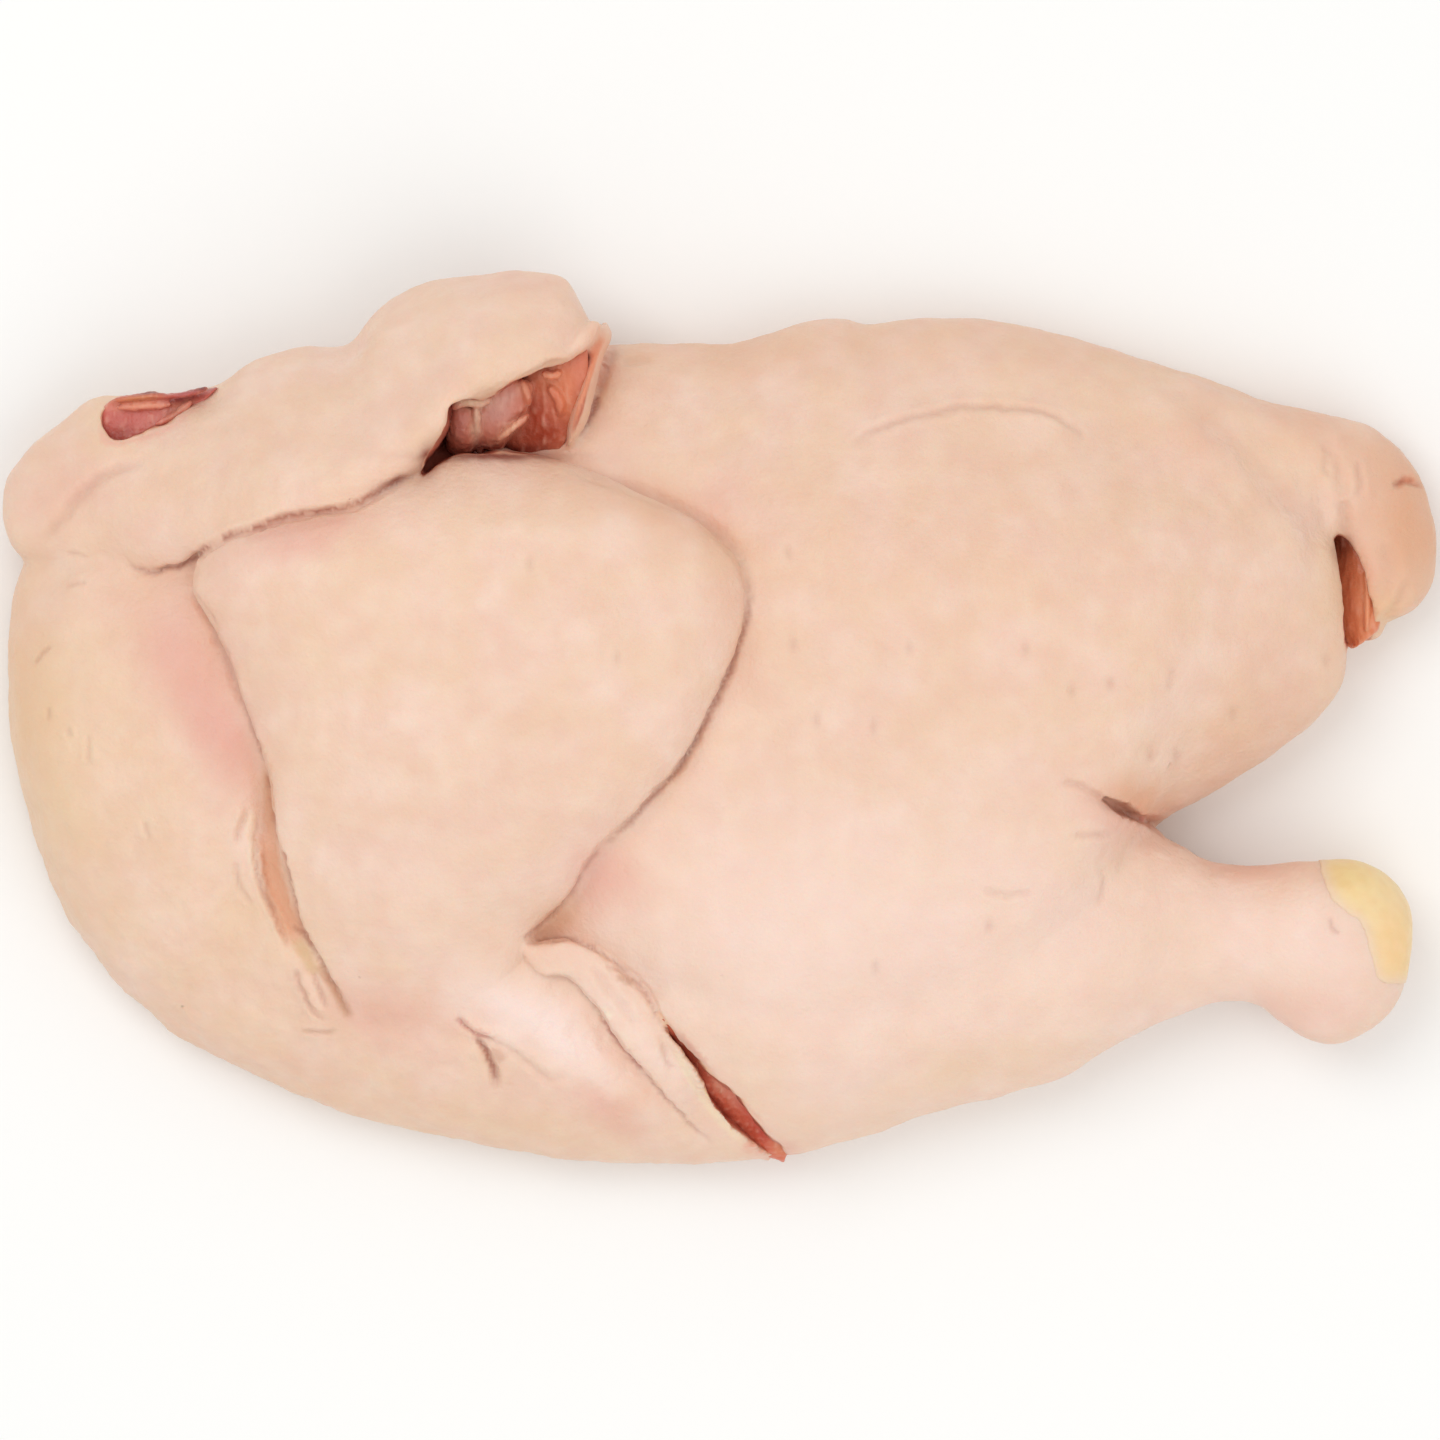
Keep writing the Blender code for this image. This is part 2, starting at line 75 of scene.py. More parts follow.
# Each mass is a loft between two rails that are seen from above: first the one towards the
# breastbone, then the one towards the backbone. rims are the heights of the two rails, or of both
# where there is one list. crown is what rises above the rails and belly what hangs below. These
# are values evenly spaced along the mass, in mm. square is 2 for a round section and more for a
# flatter one, and blunt is how full the ends are.
MASSES = {
    "body": lofted(
        [(-139.5, 13.5), (-139, 2), (-137.5, -11), (-133, -26.5), (-126.5, -40.5), (-117, -52.5),
         (-106, -62), (-92, -69.5), (-76.5, -75.5), (-59, -80.5), (-39.5, -84.5), (-19.5, -86.5),
         (-4, -87), (9.5, -85.5), (25, -82), (41, -76.5), (54.5, -68.5), (66.5, -56.5), (74, -43),
         (79, -29.5), (86, -19.5), (95.5, -14.5), (105.5, -8), (115, -1), (121, 6.5),
         (122.5, 15.5)],
        [(-139, 23.5), (-136.5, 31), (-129, 39), (-115.5, 48.5), (-96, 56.5), (-72.5, 62),
         (-51, 67.5), (-31.5, 71.5), (-19.5, 73.5), (-8, 73.5), (2, 73.5), (9.5, 76), (18, 78.5),
         (24, 78.5), (28.5, 77), (35, 78.5), (54.5, 78), (66.5, 75.5), (80, 71), (95.5, 66.5),
         (107.5, 60), (115.5, 52), (120, 41), (122, 29.5)],
        rims=([8, 8, 8, 8, 8, 8, 9, 11, 15], [8, 8, 9, 9, 9, 9, 9, 11, 15]),
        crown=[14, 27, 32, 34, 35, 37, 36, 26, 12], belly=[20, 20, 20, 20, 20, 20, 20, 20, 18],
        square=2.3, blunt=7,
    ),
    "drumstick": lofted(
        [(-19.5, -51), (-14, -66.5), (-4, -77), (9.5, -84.5), (25, -82), (41, -77), (54.5, -73.5),
         (66.5, -69.5), (78, -63.5), (89.5, -58), (96.5, -55.5), (103.5, -55.5), (109.5, -59),
         (115, -62), (121, -63), (127, -60.5), (132, -55.5), (135, -44)],
        [(-8, -33), (11.5, -22.5), (31, -15.5), (50.5, -12.5), (66.5, -13.5), (78, -17),
         (89.5, -24), (96.5, -28), (102.5, -28.5), (109.5, -27.5), (117, -27.5), (125, -28),
         (131, -31.5), (134.5, -37)],
        rims=([10, 10, 11, 12, 13, 14, 15, 15, 15], [16, 16, 16, 16, 16, 16, 16, 16, 15]),
        crown=[24, 27, 27, 25, 22, 17, 11, 15, 12], belly=[20, 20, 20, 20, 18, 14, 11, 14, 11],
        square=2.2, blunt=9,
    ),
    "tail": lofted(
        [(89.5, 68), (95.5, 53), (103, 43), (109, 34), (113, 26), (116.5, 20), (120, 16.5),
         (123.5, 15.5), (127.5, 15.5)],
        [(101.5, 64), (111.5, 61.5), (121, 59.5), (130, 55.5), (135.5, 49), (139, 41), (140, 31.5),
         (139, 26), (136.2, 22.2), (132.8, 20.6), (130.2, 19.6), (129.4, 16.6)],
        rims=([18, 18, 16, 12, 9, 8, 9], [12, 12, 12, 12, 11, 11, 10]),
        crown=[7, 9, 11, 12, 12, 11, 6], belly=[14, 14, 14, 12, 8.5, 8.5, 6], square=2.2, blunt=6,
    ),
    "wing_panel": lofted(
        [(-57, 57.5), (-76.5, 51), (-92, 42), (-101, 33), (-102.5, 25.5), (-99.5, 19.5),
         (-95.5, 11), (-91.5, 1), (-89, -9), (-87, -19.5), (-84.5, -29.5), (-81.5, -39),
         (-77.5, -49), (-73, -58.5), (-67.5, -64.5), (-59, -69.5)],
        [(-46, 53), (-35.5, 51.5), (-23.5, 47.5), (-12, 42.5), (-2, 36.5), (4, 30.5), (5.5, 23.5),
         (3.5, 15.5), (-1, 6), (-6, -4), (-13, -14.5), (-21.5, -24.5), (-29.5, -33), (-36, -41),
         (-38.5, -48), (-42, -56.5), (-49, -65.5)],
        rims=([30, 32, 36, 41, 42, 42, 40, 36, 28, 18], [30, 36, 42, 46, 47, 47, 44, 38, 29, 18]),
        crown=[4, 9, 12, 13, 13, 12, 10, 8, 6, 3], belly=[6, 6, 7, 8, 8, 8, 8, 7, 6, 4], square=3,
        blunt=8,
    ),
    "wing_band": lofted(
        [(-140, 39), (-138, 33), (-131, 29), (-117.5, 28.5), (-106, 29.5), (-92, 36), (-76.5, 41),
         (-63, 46.5), (-55.5, 50.5), (-52, 56.5), (-47, 62), (-39.5, 64), (-31.5, 68.5),
         (-23.5, 75.5)],
        [(-139.5, 47), (-135, 53), (-129, 58.5), (-123, 63), (-111.5, 63.5), (-99, 65.5), (-92, 70),
         (-82.5, 72.5), (-72, 74), (-68, 79), (-59, 84.5), (-47, 87), (-37.5, 87.5), (-30.5, 86),
         (-27.5, 81)],
        rims=([12, 16, 28, 38, 45, 46, 46, 42, 36], [12, 13, 13, 15, 17, 19, 22, 28, 34]),
        crown=[10, 13, 13, 12, 12, 13, 14, 11, 5], belly=[10, 11, 11, 13, 14, 14, 14, 10, 5],
        square=2.4, blunt=7,
    ),
    "wing_skin_edge": lofted(
        [(-30, 52), (-26.5, 56.5), (-24.5, 63.5), (-22.5, 70.5), (-21, 75.5), (-22.5, 78)],
        [(-30.5, 56.5), (-28.5, 63.5), (-25.5, 72.5), (-24, 76.5)],
        rims=([30, 30, 29, 28], [30, 30, 30, 28]), crown=[8, 11, 10, 6], belly=[10, 10, 10, 8],
        square=2.2, blunt=8,
    ),
    "breast_fold": lofted(
        [(-55, -52), (-49, -58.5), (-39.5, -66), (-27.5, -73.5), (-16, -78), (-4, -83)],
        [(-43, -44.5), (-32, -43.5), (-21, -51), (-14.5, -61), (-9, -71)],
        rims=([34, 30, 24, 16, 8], [35, 33, 29, 20, 8]), crown=[3, 5, 5, 4, 2],
        belly=[8, 8, 8, 8, 4], square=2.2, blunt=5,
    ),
    "knee_fold": lofted(
        [(-39.5, -43.5), (-34.1, -49.9), (-30.5, -49.9), (-26.2, -53.8), (-23.3, -57.1),
         (-20.5, -61.4), (-17.6, -65), (-15.4, -67.8), (-11.8, -72.1), (-8.2, -76.5), (-5.4, -79.3),
         (2, -84.5), (10, -86.5)],
        [(-28.5, -43), (-24.5, -44.6), (-19, -48.4), (-16.2, -51.3), (-14, -54.2), (-11.8, -58.5),
         (-9.5, -61.5), (-6.8, -65), (-4.7, -67.8), (-1.8, -73.6), (1.1, -77.2), (6.1, -82.2)],
        rims=([38, 37, 33, 27, 17, 8], [38, 36.9, 33.8, 28.2, 19, 8]), crown=[1.5, 2.5, 3, 3, 3, 2],
        belly=[6, 6, 6, 6, 6, 4], square=3.2, blunt=7,
    ),
}

# Swellings and hollows of the body's top: x, y, radius along, radius across, turn in degrees, rise.
SWELLINGS = [
    (40, 25, 48, 34, -8, 6),
    (10, -48, 34, 22, -20, 5),
    (-29, -36, 9, 6, 50, -4),
    (-16, -61, 30, 9, -42, -10),
    (-92, -34, 10, 26, -18, -3),
    (80, 52, 30, 10, -20, -4),
    (92, 10, 18, 22, 0, 2),
]

# Thin edges of loose skin that are added to the masses for the skin alone.
SKIN_LIPS = {
    "wing_corner": lofted(
        [(-31, 69.8), (-28.5, 70.2), (-26.3, 71.4), (-24.4, 73.5), (-22.8, 77)],
        [(-30, 73), (-27, 76.5), (-24.5, 78)],
        rims=[41, 40, 38], crown=[3, 4, 3], belly=[8, 8, 8], square=2.4, blunt=6,
    ),
    "wing_edge": lofted(
        [(-53.5, 57), (-52.2, 60.5), (-51, 61.2), (-48, 61.3), (-45, 61.8), (-43.2, 63.2),
         (-41.5, 64.2), (-38.5, 66.2), (-36.5, 67.4), (-32.5, 69.2), (-29.5, 69.4), (-26, 72.5)],
        [(-54.5, 61), (-51.5, 63.4), (-48, 63.4), (-45, 64.2), (-42.5, 66), (-38.5, 68.6),
         (-32.5, 71.6), (-29, 72.2)],
        rims=([40, 43, 43.5, 43.5, 42.5, 40], [43, 45, 46, 46, 45, 41]), crown=[1.5, 2, 2, 2, 2, 1],
        belly=[3, 3, 3, 3, 3, 2], square=2.4, blunt=6,
    ),
}

# What is cut out of the skin, in the same terms as the masses.
SKIN_CUTS = {
    "shoulder_window": lofted(
        [(-120.9, 60.5), (-120.4, 57), (-119, 54.6), (-117, 54.2), (-114.2, 55), (-111.3, 56.2),
         (-107.5, 57.4), (-104.9, 59.8), (-102.4, 61.7), (-99, 65.5)],
        [(-119, 62), (-116.5, 62.6), (-114.5, 64), (-111, 67), (-105, 68), (-101, 67.5)],
        rims=[44, 44], crown=[6, 6], belly=[25, 28, 28, 26], square=6, blunt=12,
    ),
    "knee_slit": lofted(
        [(-13, -57), (-11.4, -59.8), (-9.3, -62.8), (-7.1, -65.5), (-4.9, -68.8), (-2.3, -74),
         (0.6, -78), (5.6, -82.9), (12.5, -88)],
        [(-9.7, -59.6), (-7.3, -62.4), (-4.9, -65.2), (-1.4, -69), (2.8, -72.7), (6, -76.4),
         (10.2, -81), (13.2, -83)],
        rims=[46, 46], crown=[4, 4], belly=[22, 26, 31, 36, 40], square=3, blunt=24,
    ),
    "tail_slit": lofted(
        [(119.3, 37), (119.8, 32), (120.8, 26), (121.4, 20), (122, 14), (124.5, 11)],
        [(122.6, 35), (125.6, 29.5), (127.2, 23.5), (127.4, 16)],
        rims=[40, 40], crown=[4, 4], belly=[28, 33, 34, 34], square=4, blunt=9,
    ),
    "leg_notch": lofted(
        [(71.5, -13.5), (75, -16.9), (78.5, -19), (82, -20.4), (87.8, -24), (95, -28)],
        [(76, -15), (80, -16.9), (83, -18.3), (88, -18.6), (95, -18)],
        rims=[40, 40], crown=[4, 4], belly=[2, 9, 24, 44, 44, 44], square=3, blunt=5,
    ),
    "wing_gap": lofted(
        [(-59, 46.6), (-57, 47.6), (-53, 50.4), (-50, 51.3), (-46, 51.4), (-42, 52.4), (-37, 51.7),
         (-33.5, 52.6), (-31.5, 54.5), (-30, 58.5), (-28.3, 63), (-27.4, 67), (-27, 71)],
        [(-57.4, 50.5), (-55, 53.8), (-53.4, 57), (-52.6, 61.6), (-49.6, 62.7), (-46.3, 62.3),
         (-43.7, 63.3), (-40.4, 65.4), (-37.5, 66.9), (-33.4, 68.9), (-29.6, 69.5)],
        rims=[46, 44, 42, 40, 40], crown=[10, 14, 14, 12], belly=[8, 15, 17, 14, 12], square=7,
        blunt=12,
    ),
}

# The cuts with flesh at their sides. The notch beside the leg is a fold, with skin inside it.
FLESHY_CUTS = ("shoulder_window", "knee_slit", "tail_slit", "wing_gap")

# The meat that shows, piece by piece: its colour, its masses in the same terms, its strands
# (line, heights, width, thickness) and soft spots of other colours (x, y, radius along, radius
# across, turn in degrees, amount, colour).
MEAT = {
    "wing_meat": {
        "colour": "#D27A5E",
        "masses": {
            "left": lofted(
                [(-50.4, 62.4), (-52.9, 60.5), (-53.3, 56), (-53.2, 52.6), (-50.4, 50.2)],
                [(-48.3, 60.5), (-48, 56), (-48, 52.6)],
                rims=([37.5, 37, 34, 29], [38.5, 38, 35, 29]), crown=[2, 3, 3, 2],
                belly=[8, 8, 8, 6], square=2.2, blunt=6,
            ),
            "middle": lofted(
                [(-44, 65), (-48, 61), (-47.6, 57), (-46.5, 53.5), (-43.5, 51)],
                [(-40, 66.5), (-37, 65.5), (-37.6, 60.5), (-40.6, 56)],
                rims=([38, 37.5, 35, 29], [39, 38, 36, 30]), crown=[2, 2.5, 2.5, 2],
                belly=[8, 8, 8, 6], square=3, blunt=6,
            ),
            "right": lofted(
                [(-26, 72.5), (-32.5, 71), (-38.5, 69), (-40.5, 63), (-41, 58.5), (-42.5, 54),
                 (-38, 50)],
                [(-25.8, 66.5), (-26.8, 62), (-28.8, 57), (-31.5, 52.5)],
                rims=([38, 37, 33.5, 30, 27], [38.5, 38, 36, 32, 28]), crown=[2, 2, 1.5, 2, 2],
                belly=[8, 8, 8, 8, 6], square=2.6, blunt=7,
            ),
        },
        "strands": [
            ([(-52.2, 60.4), (-49.6, 61.9), (-47, 61.5), (-44.4, 62.6)], [41.4, 42, 42, 41], 2.2,
              1.6),
            ([(-47.7, 61.8), (-47.4, 58), (-47.1, 54.5), (-46.8, 51.5)], [40.4, 39.5, 36, 31], 1.9,
              2.4),
            ([(-43.9, 54), (-41.5, 55.9), (-39.3, 57.6), (-37.3, 59.4)], [36.6, 38.4, 39.6, 39.8],
              1.5, 2.2),
            ([(-38.7, 66.2), (-37.8, 63.8), (-37.3, 61)], [40, 40, 39], 1.5, 2),
            ([(-35, 67.4), (-32.6, 66.8), (-30.8, 67.6)], [39.6, 39.8, 39.8], 1.6, 1.8),
            ([(-33.5, 64.8), (-31.4, 62.2), (-31, 58.8)], [38, 37.4, 36], 2.2, 2.6),
        ],
        # The small pale spot on the right mass is a painted highlight. The near-black band along
        # the bottom is painted shadow where the folded wing's edge meets the meat, and the dark red
        # above it is partly the meat's own colour and partly painted shadow.
        "spots": [
            (-48.4, 61.8, 4.4, 1.1, 0, 1, "#F5D7B4"), (-50.6, 57, 1.9, 4, 0, 0.9, "#C4796A"),
            (-52.6, 57, 0.8, 6, 0, 0.7, "#9E4C3C"), (-47.4, 57.8, 0.95, 4.2, -4, 1, "#EDC8A8"),
            (-46.8, 53, 1.4, 1.6, 0, 0.6, "#C98274"), (-43.4, 59.4, 4.6, 3.4, 42, 0.85, "#CF978A"),
            (-41.6, 62.6, 3, 1.2, 42, 0.5, "#DDB0A2"), (-40.5, 56.9, 4.4, 0.9, 38, 1, "#F3BE9E"),
            (-38, 63.6, 0.9, 3, 15, 0.9, "#EBAA88"), (-33, 66.4, 4.5, 3, 10, 0.85, "#E2906C"),
            (-33, 67.4, 1.6, 0.8, 10, 0.8, "#F3B898"), (-29.8, 62, 1.8, 5, 10, 0.8, "#DE845C"),
            (-36, 59.5, 2.6, 4, 20, 0.9, "#B2492F"), (-34, 55.5, 6, 2.6, 10, 0.85, "#A03A20"),
            (-41, 52.4, 10, 1.5, 0, 0.95, "#6E1C12"), (-30.5, 55.5, 1.4, 3.5, -20, 0.5, "#CE7458"),
        ],
    },
    "shoulder_meat": {
        "colour": "#CE6C60",
        "masses": {
            "bed": lofted(
                [(-122, 59), (-120.5, 54), (-118, 52.5), (-114.5, 53.5), (-107, 56), (-103, 59.5),
                 (-98, 65)],
                [(-119, 62.4), (-114, 63.3), (-108, 63.3), (-104, 63.9)],
                rims=([20, 21, 22, 22], [20, 20, 20, 20]), crown=[1, 1.5, 2, 2], belly=[8, 8, 8, 7],
                square=2.6, blunt=8,
            ),
        },
        "strands": [
            ([(-118.5, 62.3), (-114.5, 62.8), (-110.5, 63.2), (-107, 62.9)], [23.6, 24, 24, 23.5],
              1.5, 4),
            ([(-108.5, 63.1), (-104.5, 63.4), (-100, 64.7)], [23.8, 24.4, 25], 1.2, 4.5),
            ([(-118, 60.9), (-112.5, 61.2), (-107, 61.6)], [22.6, 23, 23.4], 1.6, 1.8),
            ([(-110.5, 57.4), (-106.5, 59.4), (-103, 62.2)], [24, 24.4, 24.6], 1.5, 2),
        ],
        "spots": [
            (-117.4, 55.6, 3.6, 1.5, 8, 0.8, "#A94F43"),
            (-110.5, 58.4, 3.6, 1.9, 25, 0.8, "#DE8A7C"),
            (-105.6, 60.4, 3.8, 1.2, 38, 0.8, "#C78A70"), (-113.5, 62.6, 5.2, 0.8, 4, 1, "#C98057"),
            (-112.5, 61.2, 6, 0.75, 3, 0.95, "#EDA586"), (-104.5, 63.4, 4.4, 0.8, 12, 1, "#B5605C"),
            (-111, 64, 3, 0.6, 3, 0.9, "#86524A"), (-100.8, 64.8, 2.4, 0.6, 10, 0.9, "#7A4A46"),
        ],
    },
    "knee_meat": {
        "colour": "#D46A50",
        "masses": {
            "bed": lofted(
                [(-12, -57.5), (-8, -65), (-3.4, -73), (2.2, -80), (7.4, -84.6), (12.3, -86.6)],
                [(-3, -64.5), (4.5, -71), (10.5, -76.5), (13.8, -81.5)],
                rims=([33, 24, 15, 8], [35, 28, 18.5, 9]), crown=[2, 2, 2.5, 2], belly=[6, 6, 6, 5],
                square=2.4, blunt=6,
            ),
        },
        "strands": [
            ([(-1, -72.4), (3.6, -76.6), (8.2, -81.2)], [22.5, 18, 12.5], 1.5, 2.4),
        ],
        "spots": [
            (-7, -64.5, 6, 1.6, -52, 0.75, "#93402E"), (0.5, -76.5, 8, 0.9, -50, 0.6, "#9A3A28"),
            (3, -74, 5, 1.2, -45, 0.8, "#E5947A"), (8, -80.6, 3.4, 1.3, -45, 0.7, "#C43A26"),
            (11.6, -83.4, 2.2, 1.8, -40, 0.9, "#E08A62"),
            (-0.6, -71.5, 1.6, 0.8, -45, 0.6, "#E8A98C"), (5.5, -77, 4, 0.8, -48, 0.8, "#D9573F"),
        ],
    },
    "tail_meat": {
        "colour": "#D97E55",
        "masses": {
            "bed": lofted(
                [(119.3, 38), (118, 30), (118, 24), (119, 18), (123.5, 13.8)],
                [(126.2, 32), (128.5, 25), (128.5, 18)],
                rims=([10, 10, 10, 9], [15, 16, 16, 14]), crown=[2, 3, 3.5, 2], belly=[6, 6, 6, 5],
                square=2.4, blunt=6,
            ),
        },
        "strands": [
            ([(125.6, 30), (126.2, 24), (126, 17)], [16.6, 17.4, 16.6], 1.4, 3),
        ],
        # The dark spot at the top of the slit is painted shade.
        "spots": [
            (121.5, 34, 2.6, 4, 0, 0.85, "#7E3A26"), (120.6, 24, 0.9, 8, 0, 0.5, "#B05C3A"),
            (126, 22, 1.5, 7, 0, 0.7, "#E9A47C"), (123, 28, 1.2, 3, 0, 0.4, "#B8623E"),
        ],
    },
}
# The edge of the yellow skin on the shank, seen from above, and its shades: x, y, radii, turn,
# amount, colour.
CAP_EDGE = [
    (116.4, -26.5), (117.2, -31), (118.5, -34.6), (121.4, -37.4), (124.4, -39.6), (125.8, -43.5),
    (126.8, -48), (128.6, -51), (134, -51.6),
]
CAP_SPOTS = [
    (122, -30, 8, 3.5, 0, 0.6, "#F4D694"), (131, -44, 4, 8, 0, 0.7, "#FACB98"),
    (118.5, -33, 1.6, 6, 25, 0.4, "#F7DFBC"),
]


def linear(code):
    """The linear colour of an sRGB hex code."""
    channels = [int(code[i : i + 2], 16) / 255 for i in (1, 3, 5)]
    return tuple(c / 12.92 if c <= 0.04045 else ((c + 0.055) / 1.055) ** 2.4 for c in channels)


def colour(name, description, code):
    return FloatVectorProperty(
        name=name, description=description, subtype="COLOR", min=0, max=1, default=linear(code)
    )


def length(name, description, default):
    return FloatProperty(name=name, description=description, unit="LENGTH", min=0, default=default)


class SkinSettings(bpy.types.PropertyGroup):
    """Sizes and colours of the raw skin."""

    voxel: length("Voxel", "Size of the grid that the skin is remeshed on", 0.00062)
    unevenness: length("Unevenness", "Height of the broad dents and swellings", 0.0007)
    crepe: length("Crepe", "Height of the fine wrinkles", 0.00022)
    peach: colour("Peach", "The skin over most of the bird", "#EECDB8")
    # Rosy is also painted shade under the wing's edge and in the pocket below its tip.
    rosy_and_shade: colour("Rosy", "Skin that thin muscle shows through", "#E3A294")
    # Milky is also a painted highlight on the lit side of the bird towards the breastbone.
    milky_and_highlight: colour("Milky", "Stretched pale skin", "#F9DFD4")
    fat: colour("Fat", "Skin with yellow fat under it", "#EBCB9C")
    # Tan is also painted shade in the pocket, beside the wing's right edge and over the leg's
    # notch.
    tan: colour("Tan", "Skin at the tail and along the back", "#DDA27C")
    orange: colour("Orange", "Edges of cut skin with muscle behind them", "#DC8A66")
    seam: colour("Seam", "Shade in the creases", "#9A4A38")
    # Painted shade for the deepest places between the folds.
    deep_shade: colour("Blood", "The deepest places between the folds", "#83392A")


class MeatSettings(bpy.types.PropertyGroup):
    """Sizes and colours of the raw meat and of the shank's end."""

    voxel: length("Voxel", "Size of the grid that the meat is remeshed on", 0.0003)
    fibre: length("Fibre", "Width of a bundle of muscle fibres", 0.0009)
    muscle: colour("Muscle", "Meat on the cut side", "#CB7F6C")
    shank: colour("Shank", "Yellow skin on the shank's end", "#FAD9A6")


class StageSettings(bpy.types.PropertyGroup):
    """The floor, the light and the camera."""

    floor: colour("Floor", "Colour of the floor", "#FAFAF8")
    lens: FloatProperty(name="Lens", description="Focal length in mm", min=50, default=500)
    frame_width: length("Frame width", "Width that the camera sees", 0.28156)
    surround: FloatProperty(
        name="Surround", description="Strength of the white surround", min=0, default=0.74
    )
    key: FloatProperty(name="Key", description="Power of the main light", unit="POWER", default=4.6)


def steps_of(points):
    """The lengths of the steps from point to point."""
    return np.linalg.norm(np.diff(np.array(points), axis=0), axis=1)


def smooth_line(points, shares):
    """Points on a smooth curve through the given ones, at shares of its length from 0 to 1."""
    p = np.array(points, float).reshape(len(points), -1)
    step = steps_of(p) if p.shape[1] > 1 else np.ones(len(p) - 1)
    knots = np.concatenate([[0], np.cumsum(step)])
    slope = np.gradient(p, knots, axis=0)
    at = np.clip(np.asarray(shares, float), 0, 1) * knots[-1]
    i = np.clip(np.searchsorted(knots, at, side="right") - 1, 0, len(p) - 2)
    h = (knots[i + 1] - knots[i])[:, None]
    u = ((at - knots[i])[:, None]) / h
    return (
        (2 * u**3 - 3 * u**2 + 1) * p[i]
        + (u**3 - 2 * u**2 + u) * h * slope[i]
        + (3 * u**2 - 2 * u**3) * p[i + 1]
        + (u**3 - u**2) * h * slope[i + 1]
    )


def values_along(values, shares):
    return smooth_line([(v,) for v in values], shares)[:, 0]


def patches(plan, spots):
    """The sum of soft elliptical spots: x, y, radius along, radius across, turn, amount."""
    x, y = plan[..., 0], plan[..., 1]
    total = np.zeros_like(x)
    for cx, cy, along, across, turn, amount in spots:
        c, s = math.cos(math.radians(turn)), math.sin(math.radians(turn))
        a = ((x - cx) * c + (y - cy) * s) / along
        b = ((y - cy) * c - (x - cx) * s) / across
        total += amount * np.exp(-(a**2 + b**2))
    return total


def mass_points(mass, spacing, inset=0.0, swellings=()):
    """The points of a mass in mm, ring after ring along it, and its two end points."""
    reach = max(steps_of(mass[rail]).sum() for rail in ("near", "far"))
    n = max(int(reach / spacing), 8)
    # The rings crowd a little towards the two ends, where the outline is round.
    shares = (1 - np.cos(np.pi * np.arange(1, n) / n)) / 2 * 0.35 + np.arange(1, n) / n * 0.65
    near = smooth_line(mass["near"], shares)
    far = smooth_line(mass["far"], shares)
    fullness = np.sqrt(1 - np.abs(2 * shares - 1) ** mass["blunt"])
    rim_near = values_along(mass["rim_near"], shares)
    rim_far = values_along(mass["rim_far"], shares)
    crown = values_along(mass["crown"], shares) * fullness
    belly = values_along(mass["belly"], shares) * fullness
    ends = np.array([mass["near"][0], mass["near"][-1]], float)
    if inset:
        middle = (near + far) / 2
        span = far - near
        width = np.linalg.norm(span, axis=1)
        room = np.min([np.linalg.norm(middle - end, axis=1) for end in ends], axis=0)
        keep = (width > 2.6 * inset) & (room > inset + 1)
        span = span / width[:, None]
        near, far = (near + span * inset)[keep], (far - span * inset)[keep]
        rim_near, rim_far = rim_near[keep], rim_far[keep]
        crown, belly = np.maximum(crown - inset, 1)[keep], np.maximum(belly - inset, 1)[keep]
        ends = np.array([(near[0] + far[0]) / 2, (near[-1] + far[-1]) / 2])
    ribs = max(int(np.linalg.norm(far - near, axis=1).max() / spacing), 8)
    across = -np.cos(np.pi * np.arange(ribs + 1) / ribs)
    bulge = np.sqrt(np.maximum(1 - np.abs(across) ** mass["square"], 0))
    share = (across + 1) / 2
    plan = near[:, None] * (1 - share)[:, None] + far[:, None] * share[:, None]
    rim = rim_near[:, None] * (1 - share) + rim_far[:, None] * share
    lift = patches(plan, swellings) * bulge
    top = np.dstack([plan, rim + crown[:, None] * bulge + lift])
    under = np.dstack([plan, rim - belly[:, None] * bulge])
    rings = np.concatenate([top, under[:, -2:0:-1]], axis=1)
    heights = (rim_near[[0, -1]] + rim_far[[0, -1]]) / 2
    return rings, np.column_stack([ends, heights])


def mass_faces(count, around):
    """The faces of a loft with its ends closed: ring points first, then the two end points."""
    ring, spot = np.meshgrid(np.arange(count - 1), np.arange(around), indexing="ij")
    following = (spot + 1) % around
    a, b = ring * around + spot, ring * around + following
    quads = np.stack([a, b, b + around, a + around], axis=-1).reshape(-1, 4).tolist()
    first, last = count * around, count * around + 1
    base = (count - 1) * around
    turn = [(j, (j + 1) % around) for j in range(around)]
    caps = [(first, k, j) for j, k in turn] + [(last, base + j, base + k) for j, k in turn]
    return quads + caps


def mesh_object(name, points, faces):
    """A mesh object from points in mm, with its faces pointing outwards, alone and active."""
    mesh = bpy.data.meshes.new(name)
    mesh.from_pydata((np.asarray(points) * MM).tolist(), [], faces)
    obj = bpy.data.objects.new(name, mesh)
    bpy.context.scene.collection.objects.link(obj)
    bm = bmesh.new()
    bm.from_mesh(mesh)
    bmesh.ops.recalc_face_normals(bm, faces=bm.faces)
    bm.to_mesh(mesh)
    bm.free()
    make_active(obj)
    return obj


def make_active(obj):
    """Makes an object the only selected one, where it isn't already."""
    if bpy.context.view_layer.objects.active == obj and bpy.context.selected_objects == [obj]:
        return
    bpy.ops.object.select_all(action="DESELECT")
    bpy.context.view_layer.objects.active = obj
    obj.select_set(True)


